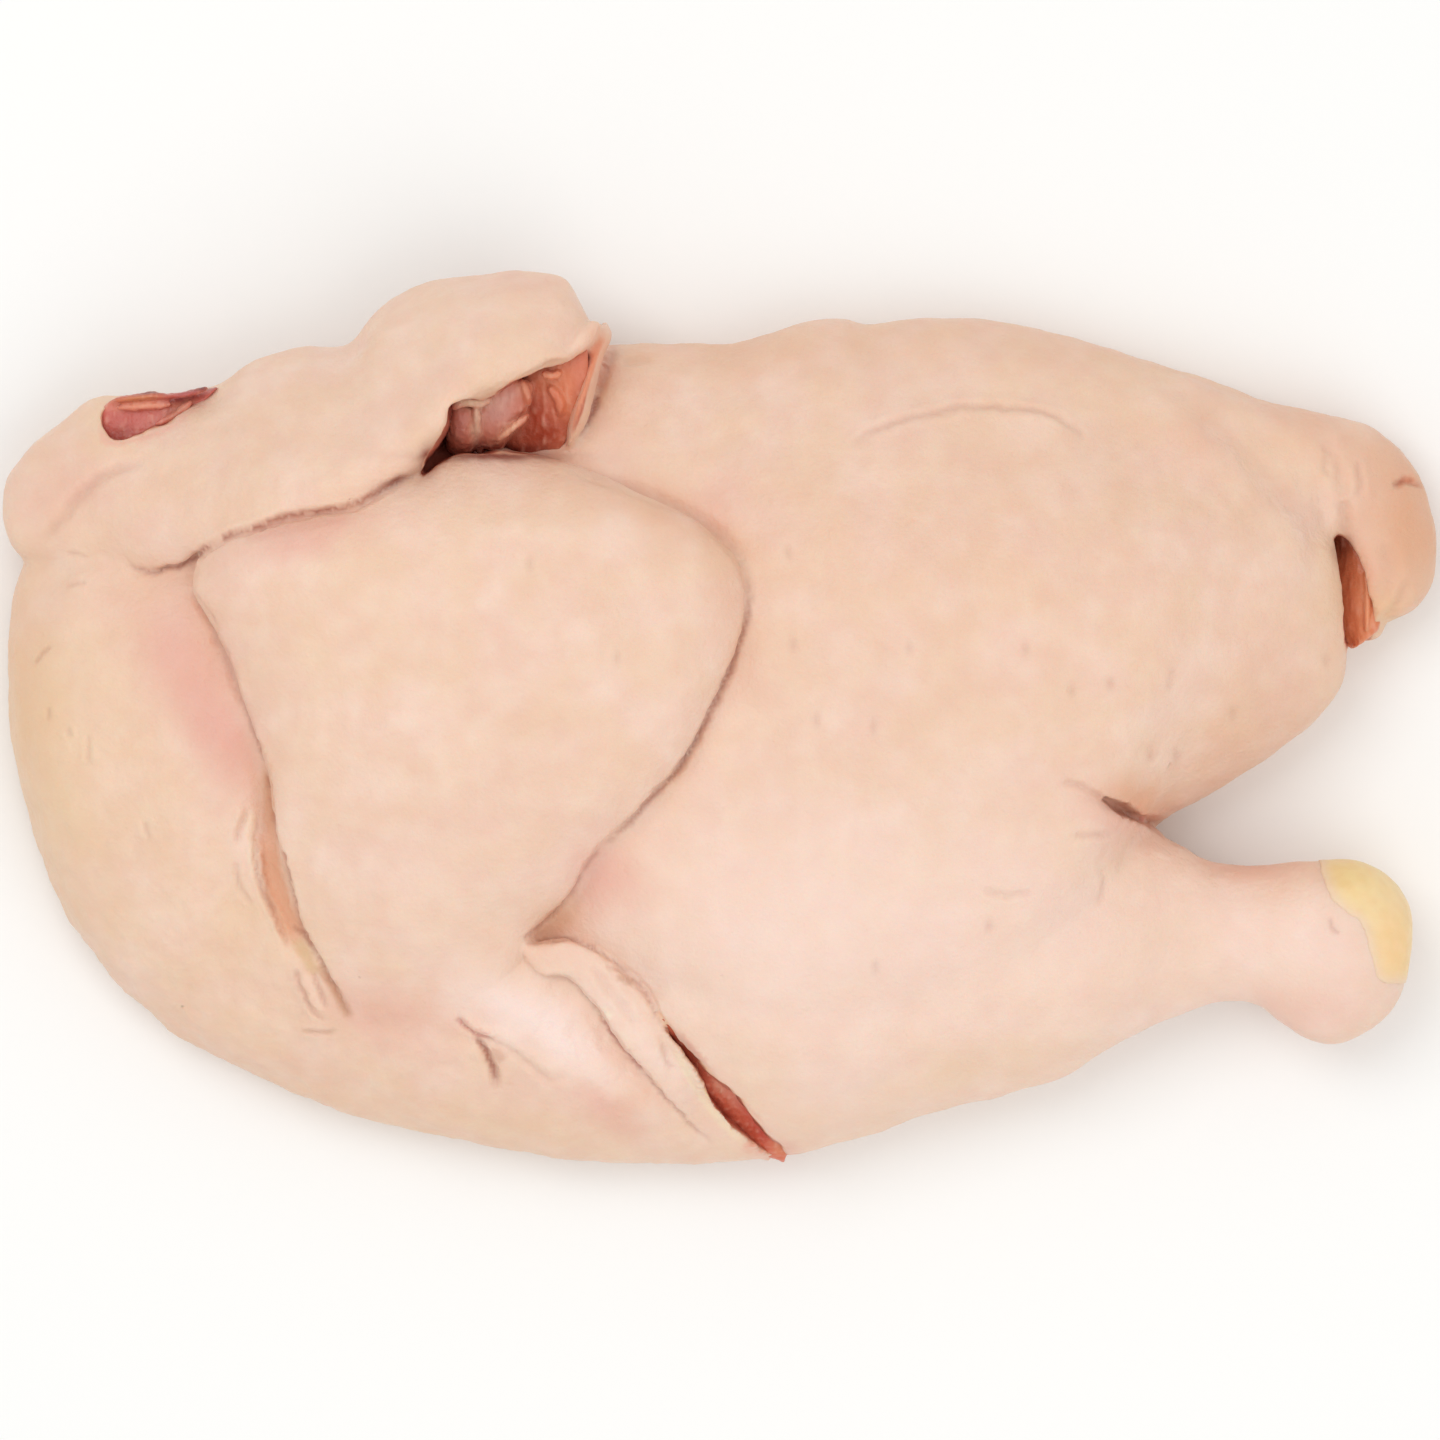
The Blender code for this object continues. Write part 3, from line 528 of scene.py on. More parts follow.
def lofts(name, masses, spacing, inset=0.0, low=None, high=None):
    """One object of several overlapping masses, held between the heights that are given."""
    points, faces = [], []
    for key, mass in masses.items():
        swellings = SWELLINGS if key == "body" else ()
        rings, ends = mass_points(mass, spacing, inset, swellings)
        start = sum(len(p) for p in points)
        faces += [tuple(start + i for i in f) for f in mass_faces(rings.shape[0], rings.shape[1])]
        points.append(np.vstack([rings.reshape(-1, 3), ends]))
    points = np.vstack(points)
    if low is not None:
        points[:, 2] = np.clip(points[:, 2], low, high)
    return mesh_object(name, points, faces)


def apply_modifier(obj, kind, **settings):
    """Adds a modifier to an object and applies it."""
    make_active(obj)
    modifier = obj.modifiers.new(kind.lower(), kind)
    for key, value in settings.items():
        setattr(modifier, key, value)
    bpy.ops.object.modifier_apply(modifier=modifier.name)


def remesh(obj, voxel, smoothing=0):
    """Remeshes an object on an even grid, and smooths it a number of times."""
    apply_modifier(obj, "REMESH", mode="VOXEL", voxel_size=voxel)
    if smoothing:
        apply_modifier(obj, "SMOOTH", factor=0.5, iterations=smoothing)


def combine(obj, other, operation):
    """Joins or cuts an object with another one, which is used up."""
    apply_modifier(obj, "BOOLEAN", operation=operation, solver="MANIFOLD", object=other)
    bpy.data.objects.remove(other)


def points_of(obj):
    """The object's points in mm."""
    flat = np.empty(len(obj.data.vertices) * 3)
    obj.data.vertices.foreach_get("co", flat)
    return flat.reshape(-1, 3) / MM


def normals_of(obj):
    flat = np.empty(len(obj.data.vertices) * 3, np.float32)
    obj.data.vertex_normals.foreach_get("vector", flat)
    return flat.reshape(-1, 3).astype(float)


def join_into(obj, other):
    """Joins another object into this one."""
    make_active(obj)
    other.select_set(True)
    bpy.ops.object.join()


def move_points(obj, points):
    obj.data.vertices.foreach_set("co", (points * MM).ravel())
    obj.data.update()


def field(points, size, seed=0.0, stretch=(1, 1, 1)):
    """Smooth noise from about -1 to 1 at each point, with bumps of about the given size in mm."""
    scaled = points / (np.array(stretch) * size) + seed * 17.3
    cell = np.floor(scaled).astype(np.int64)
    at = scaled - cell
    ease = at**3 * (at * (at * 6 - 15) + 10)
    total = np.zeros(len(points))
    for corner in itertools.product((0, 1), repeat=3):
        key = ((cell + corner) * (374761393, 668265263, 2147483647)).sum(axis=1) & 0xFFFFFFFF
        key = ((key ^ (key >> 13)) * 1274126177) & 0xFFFFFFFF
        key = ((key ^ (key >> 15)) * 1911520717) & 0xFFFFFFFF
        slope = np.stack([(key >> shift) & 0xFF for shift in (4, 12, 20)], axis=1) / 127.5 - 1
        weight = np.prod(np.where(corner, ease, 1 - ease), axis=1)
        total += weight * (slope * (at - corner)).sum(axis=1)
    return total * 1.7


def beside(plan, line):
    """Distance from a smooth line, which side of it (+ is left), and how far along from 0 to 1."""
    x, y = plan[..., 0], plan[..., 1]
    count = max(int(steps_of(line).sum() / 0.8), 4)
    path = smooth_line(line, np.linspace(0, 1, count + 1))
    best = np.full(x.shape, 1e9)
    side, along = np.zeros_like(x), np.zeros_like(x)
    for i in range(count):
        a, b = path[i], path[i + 1]
        ab = b - a
        t = np.clip(((x - a[0]) * ab[0] + (y - a[1]) * ab[1]) / (ab @ ab), 0, 1)
        dx, dy = x - a[0] - t * ab[0], y - a[1] - t * ab[1]
        d = np.hypot(dx, dy)
        closer = d < best
        best[closer] = d[closer]
        side[closer] = np.sign(ab[0] * dy - ab[1] * dx)[closer]
        along[closer] = ((i + t) / count)[closer]
    return best, side, along


# Creases in the skin: the line, its width and depth in mm, how much painted shade it gets at the
# bottom of its fold, how far a lip stands up beside it, and how far the skin on its left stands
# above the skin on its right.
CREASES = [
    # Under the wing's edge.
    ([(-116, 30.5), (-111.5, 29), (-108, 29.5), (-105.5, 30), (-102.5, 31.5), (-99, 34), (-95, 36),
      (-90, 37.5), (-84, 39.5), (-78, 40.5), (-72, 41.5), (-67.5, 43.5), (-63, 46), (-57.5, 48)],
      0.6, 1.5, 0.7, 0.1, 1.4),
    ([(-132.5, 35), (-129, 38.5), (-126, 42.5), (-122, 46.5), (-117, 49), (-112, 50.5)], 1.1, 0.9,
      0.12, 0.1, 0.3),
    # Round the folded wing: its left edge, then its right one from the top.
    ([(-103, 25.5), (-101.5, 23.5), (-99, 19.5), (-97.5, 15.5), (-95, 9), (-92.5, 2.5)], 0.8, 0.9,
      0.25, 0.1, 0.9),
    ([(-95, 9), (-92.5, 2.5), (-90.5, -2.5), (-88.5, -8), (-87.5, -14), (-86.3, -20.5),
      (-84.5, -26.5), (-83, -32.5), (-80.9, -41.3), (-78.1, -45.9), (-76.2, -50.1), (-73, -56.1),
      (-71.5, -59)], 0.55, 1, 0.45, 0.1, 1.3),
    ([(-31, 50), (-24.5, 47), (-19, 45.5), (-11, 42.5), (-6.5, 40.5), (-2, 37.5), (1, 35),
      (4.5, 30), (5.5, 23.5)], 1.3, 0.9, 0.16, 0, -0.5),
    ([(4.8, 29), (5.5, 23.5), (3.7, 15.5), (0, 6), (-4, -2), (-8, -9), (-13, -14.5), (-18, -20),
      (-23, -24.5)], 0.6, 1.4, 0.6, 0.2, -1),
    ([(-20, -22), (-23, -24.5), (-26, -28), (-28.5, -32), (-33, -37.5), (-38.5, -43)], 0.5, 0.6,
      0.35, 0.25, -0.9),
    # The foot of the torn edge beside the wing's opening.
    ([(-20.4, 75), (-21.4, 71), (-22.8, 66.8), (-24, 63), (-25.6, 58.8), (-27.8, 55)], 0.7, 0.9,
      0.75, 0, 0),
    # On the thigh, over the hip joint.
    ([(25.5, 53), (28, 55.5), (32, 57), (36.5, 58.7), (41, 59.6), (46, 60.9), (52.5, 60.7),
      (58, 60.5), (64, 59.2), (68, 57), (70, 55), (69.5, 53)], 0.7, 0.45, 0.13, 0.25, -0.3),
    ([(-19.5, 69.5), (-16.5, 70.5), (-13.5, 70.5)], 0.7, 0.6, 0.25, 0.1, 0),
    # The folds of loose skin between the breast and the knee.
    ([(-51.5, -57.8), (-48.5, -60.2), (-44, -62.2)], 0.6, 0.8, 0.15, 0.3, 1.4),
    ([(-47, -61), (-42, -63.4), (-37.5, -66.8), (-32.5, -70.7)], 0.8, 0.4, 0.03, 0.35, 1),
    ([(-48, -61), (-45.8, -64.5), (-44.4, -68), (-43.6, -72)], 0.9, 1.4, 0.2, 0.2, 0.6),
    ([(-36, -49), (-34.1, -49.9), (-30.5, -49.9), (-26.2, -53.8), (-23.3, -57.1), (-20.5, -61.4),
      (-17.6, -65), (-15.4, -67.8), (-11.8, -72.1), (-8.2, -76.5), (-5.4, -79.3), (-1, -83)], 0.45,
      0.6, 0.3, 0.1, 0.7),
    ([(-38, -43.6), (-28.5, -43), (-24.5, -44.6), (-19, -48.4), (-16.2, -51.3), (-14, -54.2),
      (-11.8, -58.5), (-9.5, -61.5)], 0.5, 0.8, 0.35, 0.1, -0.9),
    ([(-22.5, -47.5), (-19.5, -48.8), (-17.5, -51.5)], 0.45, 0.5, 0.15, 0.3, 0),
    ([(-11.5, -62.5), (-11, -65), (-9.5, -68)], 0.5, 0.4, 0.15, 0.2, 0),
    ([(-25, -47.5), (-22.5, -51.5), (-18.5, -56), (-16.5, -59.5)], 0.7, 0.4, 0.05, 0.3, 0),
    # Where the leg meets the body, and on the leg.
    ([(66, -12), (69, -12.6), (72, -13.6), (75, -16)], 0.6, 0.5, 0.12, 0.3, 0.3),
    ([(68.5, -22.5), (72, -22.3), (76, -22.5)], 0.7, 0.4, 0.12, 0.2, 0),
    ([(74, -28), (74.2, -33.5), (73, -36.5)], 0.7, 0.35, 0.08, 0.1, 0),
    ([(50.5, -33), (55, -34), (60.5, -33.5)], 0.6, 0.3, 0.08, 0.25, 0),
    ([(118.5, -38.5), (119, -40.5), (120.5, -41.5)], 0.5, 0.35, 0.2, 0.05, 0),
    # The tail.
    ([(131, 45.6), (133.5, 47), (135.5, 46.3), (139, 46)], 0.6, 1, 0.35, 0.1, 0.5),
    ([(92, 62), (99, 55), (107, 47), (113.5, 40), (118.5, 33.5)], 2.4, 1.2, 0.1, 0.3, 0.3),
    ([(117, 55), (120, 49), (121.5, 43)], 1.2, 0.5, 0.08, 0.2, 0),
    ([(124, 50.5), (124.6, 47), (124.3, 43.5)], 0.7, 0.45, 0.1, 0.3, 0),
    ([(117.6, 51.5), (118, 47.5)], 0.7, 0.4, 0.08, 0.25, 0),
    ([(121.2, 43), (121.5, 39.5), (121.6, 36.5)], 1.1, 0.8, 0.15, 0.25, 0),
    ([(129.5, 35), (130.5, 29), (129, 23)], 1.4, 0.5, 0.04, 0.3, 0),
    ([(134, 27), (131.8, 22), (129, 18.5)], 1, 0.7, 0.05, 0.4, 0),
    # Fine wrinkles of the breast.
    ([(-134, 11), (-130.5, 14.5)], 0.45, 0.4, 0.2, 0.25, 0),
    ([(-131, 2.5), (-130.5, 0)], 0.45, 0.35, 0.15, 0.2, 0),
    ([(-127, -1.5), (-126.5, -3.5)], 0.45, 0.3, 0.12, 0.2, 0),
    ([(-123, -3), (-123, -9)], 0.5, 0.3, 0.1, 0.2, 0),
    ([(-112, -19.5), (-111, -23.5)], 0.5, 0.4, 0.15, 0.2, 0),
    ([(-127.5, 33), (-123, 31.5)], 0.5, 0.3, 0.12, 0.15, 0),
    ([(-127.5, 26), (-123.5, 27)], 0.5, 0.3, 0.1, 0.15, 0),
    # The groove of fat between the breast and the wing, and the torn skin beside it.
    ([(-88.2, -9), (-88.2, -17), (-88.2, -23), (-87.4, -29), (-86, -34), (-84.4, -39), (-81.5, -44),
      (-79, -48)], 1.9, 1.3, 0, 0.25, 0),
    ([(-90.2, -19), (-90.6, -24), (-90.4, -28), (-89.6, -32), (-88.3, -35), (-86.8, -38),
      (-85.6, -41), (-84, -44.5)], 0.4, 0.5, 0.3, 0.5, -0.3),
    ([(-94.2, -24), (-93.6, -21), (-91.8, -17.5)], 0.55, 0.5, 0.15, 0.5, 0.3),
    ([(-94.4, -27), (-93.6, -32), (-91, -36)], 0.5, 0.4, 0.12, 0.4, 0.2),
    ([(-82.8, -48), (-81.4, -52.6), (-79, -57), (-77, -58.4)], 0.45, 0.5, 0.25, 0.5, 0.2),
    ([(-79.6, -49), (-78.2, -52.4), (-76.8, -56)], 0.45, 0.5, 0.25, 0.4, 0),
    ([(-82, -60.5), (-78, -60.8), (-75, -60.5)], 0.45, 0.3, 0.1, 0.3, 0),
]

# Short marks that feathers left: x, y.
FEATHER_MARKS = [
    (13, 32.5), (14, 14.5), (18.5, 0), (29.5, -1.5), (36.5, 14), (59, 13.5), (68, 5.5), (75.5, 7),
    (87, 7), (99.5, 1), (87.5, 9), (88.5, -7), (83.5, -7), (118, 11.5), (-37, 30), (-20, 12),
    (30, -48), (52, -40),
]

# Tints of the skin: x, y, radius along, radius across, turn, amount. The rosy spots under the
# wing's edge and in the pocket below the wing's tip are painted shade.
ROSY_AND_SHADE = [
    (-105, 12, 15, 9, -65, 0.55), (-98, -2, 10, 6, -65, 0.35), (-94, -8, 8, 5, -70, 0.3),
    (-66, -57, 14, 6, -12, 0.4), (-80, 35.5, 14, 3.5, 15, 0.5), (-22, -30, 7, 9, 40, 0.45),
    (-22, -76, 8, 4, -20, 0.4), (93, 56, 5, 6, 30, 0.2), (110, -58, 14, 5, 10, 0.25),
    (105, 17, 9, 6, 0, 0.12), (76, -19, 9, 4, -30, 0.3), (0, 43, 8, 5, 0, 0.2),
    (-128, 45, 8, 8, 0, 0.25), (104, -29, 10, 2.5, 0, 0.25), (12, -84, 6, 3, -40, 0.5),
    (-40, 85, 10, 4, 0, 0.2),
]
# Pale stretched skin, partly a painted highlight where the bird is lit most, on its side towards
# the breastbone: between the thigh and the wing, over the drumstick and on the loose skin by the
# knee.
MILKY_AND_HIGHLIGHT = [
    (58, -45, 46, 26, -10, 0.35), (-40, -57, 13, 6, -32, 0.85), (-28, -63, 10, 5, -45, 0.6),
    (-14, -64, 14, 3, -50, 0.4), (114, -46, 18, 14, 0, 0.4), (8, -40, 32, 24, 0, 0.35),
    (-55, -30, 30, 20, -20, 0.1), (-92, -24, 3, 7, 0, 0.3), (0, -50, 18, 16, -30, 0.1),
    (22, -74, 16, 8, 10, 0.3),
]
FAT = [
    (-134, -4, 9, 28, 15, 0.5), (-118, 2, 12, 22, 10, 0.25), (-100, -45, 34, 14, -35, 0.12),
    (-60, -79, 40, 5, -8, 0.15), (-90, -38, 6, 12, 25, 0.2), (20, -82, 14, 5, 10, 0.1),
    (4, -66, 6, 12, 40, 0.12), (12, -77, 9, 5, 0, 0.1), (-44, 60, 12, 4, 30, 0.3),
    (120, 25, 4, 10, 0, 0.3), (129, 22, 5, 5, 0, 0.6), (90, 60, 20, 6, -20, 0.15),
    (-119, 58.5, 4, 4, 0, 0.5), (-70, 20, 14, 18, 0, 0.12), (50, -68, 20, 5, 12, 0.2),
]
# The skin's own tan at the tail and along the back, and painted shade in the pocket below the
# wing's tip, beside the wing's right edge and over the notch by the leg.
TAN_AND_SHADE = [
    (134, 38, 9, 18, 0, 0.75), (115, 58, 16, 6, -30, 0.4), (60, 74, 60, 6, -6, 0.16),
    (0, 72, 24, 5, 0, 0.3), (105, 0, 20, 9, 35, 0.22), (-31, -38, 6, 4.5, 50, 0.35),
    (82, -15.5, 7, 4, -25, 0.6), (-136, 8, 5, 24, 8, 0.25), (-85, -70, 40, 5, -14, 0.12),
    (60, 40, 50, 26, 0, 0.14), (-13, 40, 24, 4, -22, 0.35), (2, 20, 3.5, 14, 10, 0.25),
]
ORANGE = [
    (-26.6, 65.5, 13, 2.2, 68, 0.85), (-22.4, 69.5, 4, 1.4, 75, 0.5), (103, -28.6, 8, 1.6, 0, 0.4),
    (123.5, 24, 3.6, 10, 0, 0.7), (-117, 62.2, 3, 1.4, 0, 0.4), (82, -18.2, 7, 2.6, -25, 0.6),
]
# Painted shade: the darkest places, deep in the folds and at the tops of the slits.
DEEP_SHADE = [
    (-56.2, 50.6, 2.2, 4.4, -28, 0.8), (-44, 51.2, 12, 1, 0, 0.9), (-63.4, 46.3, 3.4, 0.8, 25, 0.8),
    (78, -17.8, 5, 1.1, -24, 0.45), (121.5, 33.5, 2, 3, 0, 0.8), (-5.5, -65.5, 6.5, 0.9, -52, 0.5),
]
# Strokes of colour on the skin: the line, its half width in mm, the amount and the colour.
STROKES = [
    # The cut edge of the wing's skin, above the meat, and the torn flap beside it, with a painted
    # highlight along the flap's top and painted shade along its foot.
    ([(-52.3, 61.6), (-50, 60.9), (-48, 60.8), (-45.4, 61.6), (-43.7, 63.5)], 0.9, 0.9, "#EFC6A2"),
    ([(-43.7, 63.5), (-41.1, 65), (-37.5, 67), (-32.7, 69.4), (-28.8, 69.8), (-26.8, 71.3)], 0.6,
      0.7, "#BE8A6C"),
    ([(-52.6, 60), (-52.8, 56), (-54.5, 53.5)], 0.8, 0.5, "#C98C74"),
    ([(-22.3, 75), (-23.8, 71), (-25.3, 66), (-26.9, 61.5), (-29.5, 56.5)], 1.9, 0.9, "#DE8C6A"),
    ([(-25.4, 69.5), (-26.8, 65.5), (-28.2, 61)], 0.5, 0.6, "#F0B494"),
    ([(-21.6, 74), (-22.4, 71), (-23.7, 67.6), (-25.5, 64), (-27, 60), (-28.9, 55)], 0.5, 0.75,
      "#A6543E"),
    # The near rim of the shoulder's opening.
    ([(-120.6, 60), (-119.8, 54.6), (-114.2, 54.7), (-107.5, 57), (-102.4, 61.3), (-99, 64.6)], 0.8,
      0.55, "#E9A796"),
    # The groove of fat between the breast and the wing. Its darker lines along its left side, at
    # the wing's edge and down from its lower end are painted shade, and the pale torn skin to its
    # left is partly a painted highlight.
    ([(-88, -8), (-87.9, -13), (-87.7, -18), (-87.6, -24)], 1.2, 0.85, "#DDA582"),
    ([(-88, -21.5), (-87.2, -28), (-85.8, -34), (-84, -39.5), (-82.2, -43.8)], 2.5, 0.95,
      "#E2A886"),
    ([(-88.9, -25), (-88.9, -30), (-88, -34), (-86.6, -38)], 0.5, 0.5, "#BF7E5E"),
    ([(-82.6, -42.4), (-80.6, -46), (-78.6, -49.6)], 1.3, 0.7, "#D9B488"),
    ([(-78.2, -47.5), (-76.2, -50.7), (-73.4, -55.6), (-72.2, -58)], 1.1, 0.7, "#C99672"),
    ([(-83.5, -40), (-81, -41.6), (-79.4, -44.5)], 0.5, 0.5, "#A9664C"),
    ([(-80.9, -49), (-79.4, -52.6), (-77.8, -57)], 1, 0.6, "#F4D2BC"),
    ([(-91.4, -17), (-91.2, -24), (-90.6, -31)], 1, 0.55, "#F5DCC0"),
    ([(-82, -60.5), (-75, -60.5)], 0.4, 0.3, "#C9A280"),
    # The loose skin between the breast and the knee. The dark V of the small slit and the brown
    # beside it, and the pocket below the wing's tip with the line along its lower edge, are painted
    # shade;
    # the creamy spot beside the knee fold's edge is a painted highlight.
    ([(-51.3, -57.8), (-48.6, -60.1), (-45, -61.8)], 0.6, 0.6, "#D3827A"),
    ([(-47.6, -61.6), (-45.8, -64.5), (-44.4, -67.6), (-44, -70)], 0.6, 0.75, "#A5604E"),
    ([(-45, -64), (-42.4, -66.6)], 1.5, 0.5, "#CC9880"),
    ([(-23.3, -57.6), (-20.5, -61.6), (-17.6, -65.3), (-15.4, -68)], 0.5, 0.6, "#B45C50"),
    ([(-24.2, -56), (-21.2, -58.2)], 0.9, 0.6, "#F8E6CC"),
    ([(-20.4, -49.6), (-16.8, -51.3)], 0.7, 0.5, "#B98A6A"),
    ([(-37, -42.6), (-33, -40.4), (-29.6, -37)], 2.6, 0.55, "#D6A281"),
    ([(-38, -43.2), (-33, -42.8), (-28, -42.6)], 0.5, 0.6, "#B98468"),
    ([(-8.6, -59.9), (-4.6, -65.3), (-1.4, -69.4), (2.9, -73.2), (6.2, -77), (10.4, -81.3)], 0.6,
      0.45, "#D9846C"),
    ([(-9.4, -64), (-6.6, -68.6), (-3.4, -74), (0.2, -78.4), (5, -83)], 0.8, 0.6, "#F4DFBC"),
    ([(4.5, -82.6), (9, -85.8)], 1.6, 0.7, "#E8937A"),
    ([(-3, -71), (-2.2, -74)], 0.6, 0.6, "#F3DC9E"),
    # The nick in the tail, and where the leg meets the body.
    ([(131.4, 45.7), (134, 46.9), (136, 46.2), (139.5, 45.8)], 0.8, 0.75, "#D9805C"),
    ([(80, -19.2), (83.5, -18.8), (89, -17.8)], 1.2, 0.6, "#D87F78"),
    # Painted shade under the wing's edge, on the wing.
    ([(-93, 35.3), (-86, 37.2), (-78, 38.8), (-71, 40)], 1.7, 0.5, "#D99A88"),
]
# Blotches all over the skin: colour, size in mm, most amount.
BLOTCHES = (
    ("#F6DBC9", 20, 0.45), ("#E2B096", 6, 0.26), ("#E9C69B", 10, 0.26), ("#E8B8A4", 3, 0.16),
)
# Where the skin lies loose, with more fine wrinkles: the terms of a soft spot.
LOOSE = [
    (-108, -30, 34, 40, 0, 0.9), (-60, -66, 60, 16, -10, 0.8), (-20, -62, 24, 14, -40, 0.8),
    (110, 45, 24, 22, 0, 0.5), (-100, 45, 34, 16, 15, 0.4), (80, -20, 20, 14, 0, 0.5),
]
# The side of a cut, from the skin's pale edge down to the muscle, darkened deeper in the cut as
# painted shade: where each layer starts and over what depth it sets in, in mm, its most amount and
# its colour.
CUT_LAYERS = ((0.3, 0.9, 1, "#EFC4A4"), (1.3, 2.2, 1, "#C2705A"), (5, 8, 0.7, "#7C3023"))


def wandering(points, size, seeds, reach):
    """Where each point lies in plan, shifted a little, so that what is drawn there wanders."""
    drift = [field(points, size, seed) for seed in seeds]
    return points[:, :2] + np.column_stack(drift) * reach


def on_creases(points):
    """Where each point lies for the creases and strokes."""
    return wandering(points, 2.2, (1.3, 4.7), 0.3)


def feather_marks(points):
    """How strong each feather's mark is at the points, mark by mark."""
    for x, y in FEATHER_MARKS:
        a, b = (points[:, 0] - x) / 0.8, (points[:, 1] - y) / 1.5
        yield np.exp(-(a**2 + b**2))


def beside_crease(spots, line, margin):
    """The spots near a crease, and what beside() says of them."""
    low, high = np.min(line, axis=0) - margin, np.max(line, axis=0) + margin
    some = np.flatnonzero(((spots > low) & (spots < high)).all(axis=1))
    return some, *beside(spots[some], line)


def fading(along):
    """How strong a crease or a stroke is along its length: full, and nothing at its ends."""
    return 1 - np.abs(2 * along - 1) ** 6


def low_in_fold(z, facing_up, d, along):
    """Which points beside a crease are near the bottom of its fold, from 0 to 1."""
    bins, unknown = 12, -99.0
    place = np.minimum((along * bins).astype(int), bins - 1)
    bottom = np.full(bins, unknown)
    for i in range(bins):
        floor = z[(place == i) & (d < 1.2) & facing_up]
        if len(floor):
            bottom[i] = np.percentile(floor, 15)
    rise = np.maximum(z - bottom[place] - 0.8, 0)
    return np.where(bottom[place] > unknown, np.exp(-((rise / 0.9) ** 2)), 0.3)


def depth_in_cuts(points, whole, cutter):
    """How deep in mm each point on the side of a cut lies below the skin as it was before.

    whole is a tree of the uncut skin and cutter one of what was cut out of it.
    """
    depth = np.zeros(len(points))
    down = Vector((0, 0, -1))
    for name in FLESHY_CUTS:
        rails = SKIN_CUTS[name]["near"] + SKIN_CUTS[name]["far"]
        low, high = np.min(rails, axis=0) - 1, np.max(rails, axis=0) + 1
        some = ((points[:, :2] > low) & (points[:, :2] < high)).all(axis=1)
        for i in np.flatnonzero(some).tolist():
            x, y, z = points[i]
            near_the_cut = 0.8 * MM
            if cutter.find_nearest(Vector((x, y, z)) * MM, near_the_cut)[0] is None:
                continue
            above = whole.ray_cast(Vector((x, y, 100)) * MM, down)[0]
            depth[i] = 0 if above is None else above.z / MM - z
    return depth


def sculpt(obj, settings):
    """Creases, feather marks and fine wrinkles, pressed into the skin."""
    points, normals = points_of(obj), normals_of(obj)
    upper = np.clip(normals[:, 2] * 2.5, 0, 1)
    rise = np.zeros(len(points))
    spots = on_creases(points)
    for line, width, depth, _, lip, step in CREASES:
        some, d, side, along = beside_crease(spots, line, 7)
        change = -depth * np.exp(-((d / width) ** 2))
        change += lip * np.exp(-(((d - 2.2 * width) / width) ** 2))
        change += step / 2 * np.tanh(side * d / (0.6 * width)) * np.exp(-((d / 3) ** 2))
        rise[some] += change * fading(along) * upper[some]
    for mark in feather_marks(points):
        rise -= 0.3 * mark * upper
    above = np.clip((points[:, 2] - HEM - 1) / 4, 0, 1)
    broad = field(points, 17, 3.1) + 0.5 * field(points, 8, 9.4)
    loose = 0.35 + patches(points, LOOSE)
    crepe = field(points, 2.6, 5.7, (1, 1.5, 1)) + 0.6 * field(points, 1.5, 1.9)
    rise += settings.unevenness / MM * broad * above + settings.crepe / MM * crepe * loose * above
    move_points(obj, points + normals * rise[:, None])


def painted(obj, base, layers):
    """Stores the colour of each point for the material to read: a base with tints laid over it."""
    colours = np.tile(np.array(base[:3], float), (len(obj.data.vertices), 1))
    for tint, amount in layers:
        colours += (np.array(tint[:3]) - colours) * np.clip(amount, 0, 1)[:, None]
    attribute = obj.data.attributes.new("colour", "FLOAT_COLOR", "POINT")
    rgba = np.column_stack([colours, np.ones(len(colours))]).astype(np.float32)
    attribute.data.foreach_set("color", rgba.ravel())


def coloured_spots(points, spots):
    """Layers for painted() from soft spots that each have a colour of their own."""
    plan = wandering(points, 1.6, (5.1, 6.4), 0.35)
    return [(linear(spot[-1]), patches(plan, [spot[:-1]])) for spot in spots]


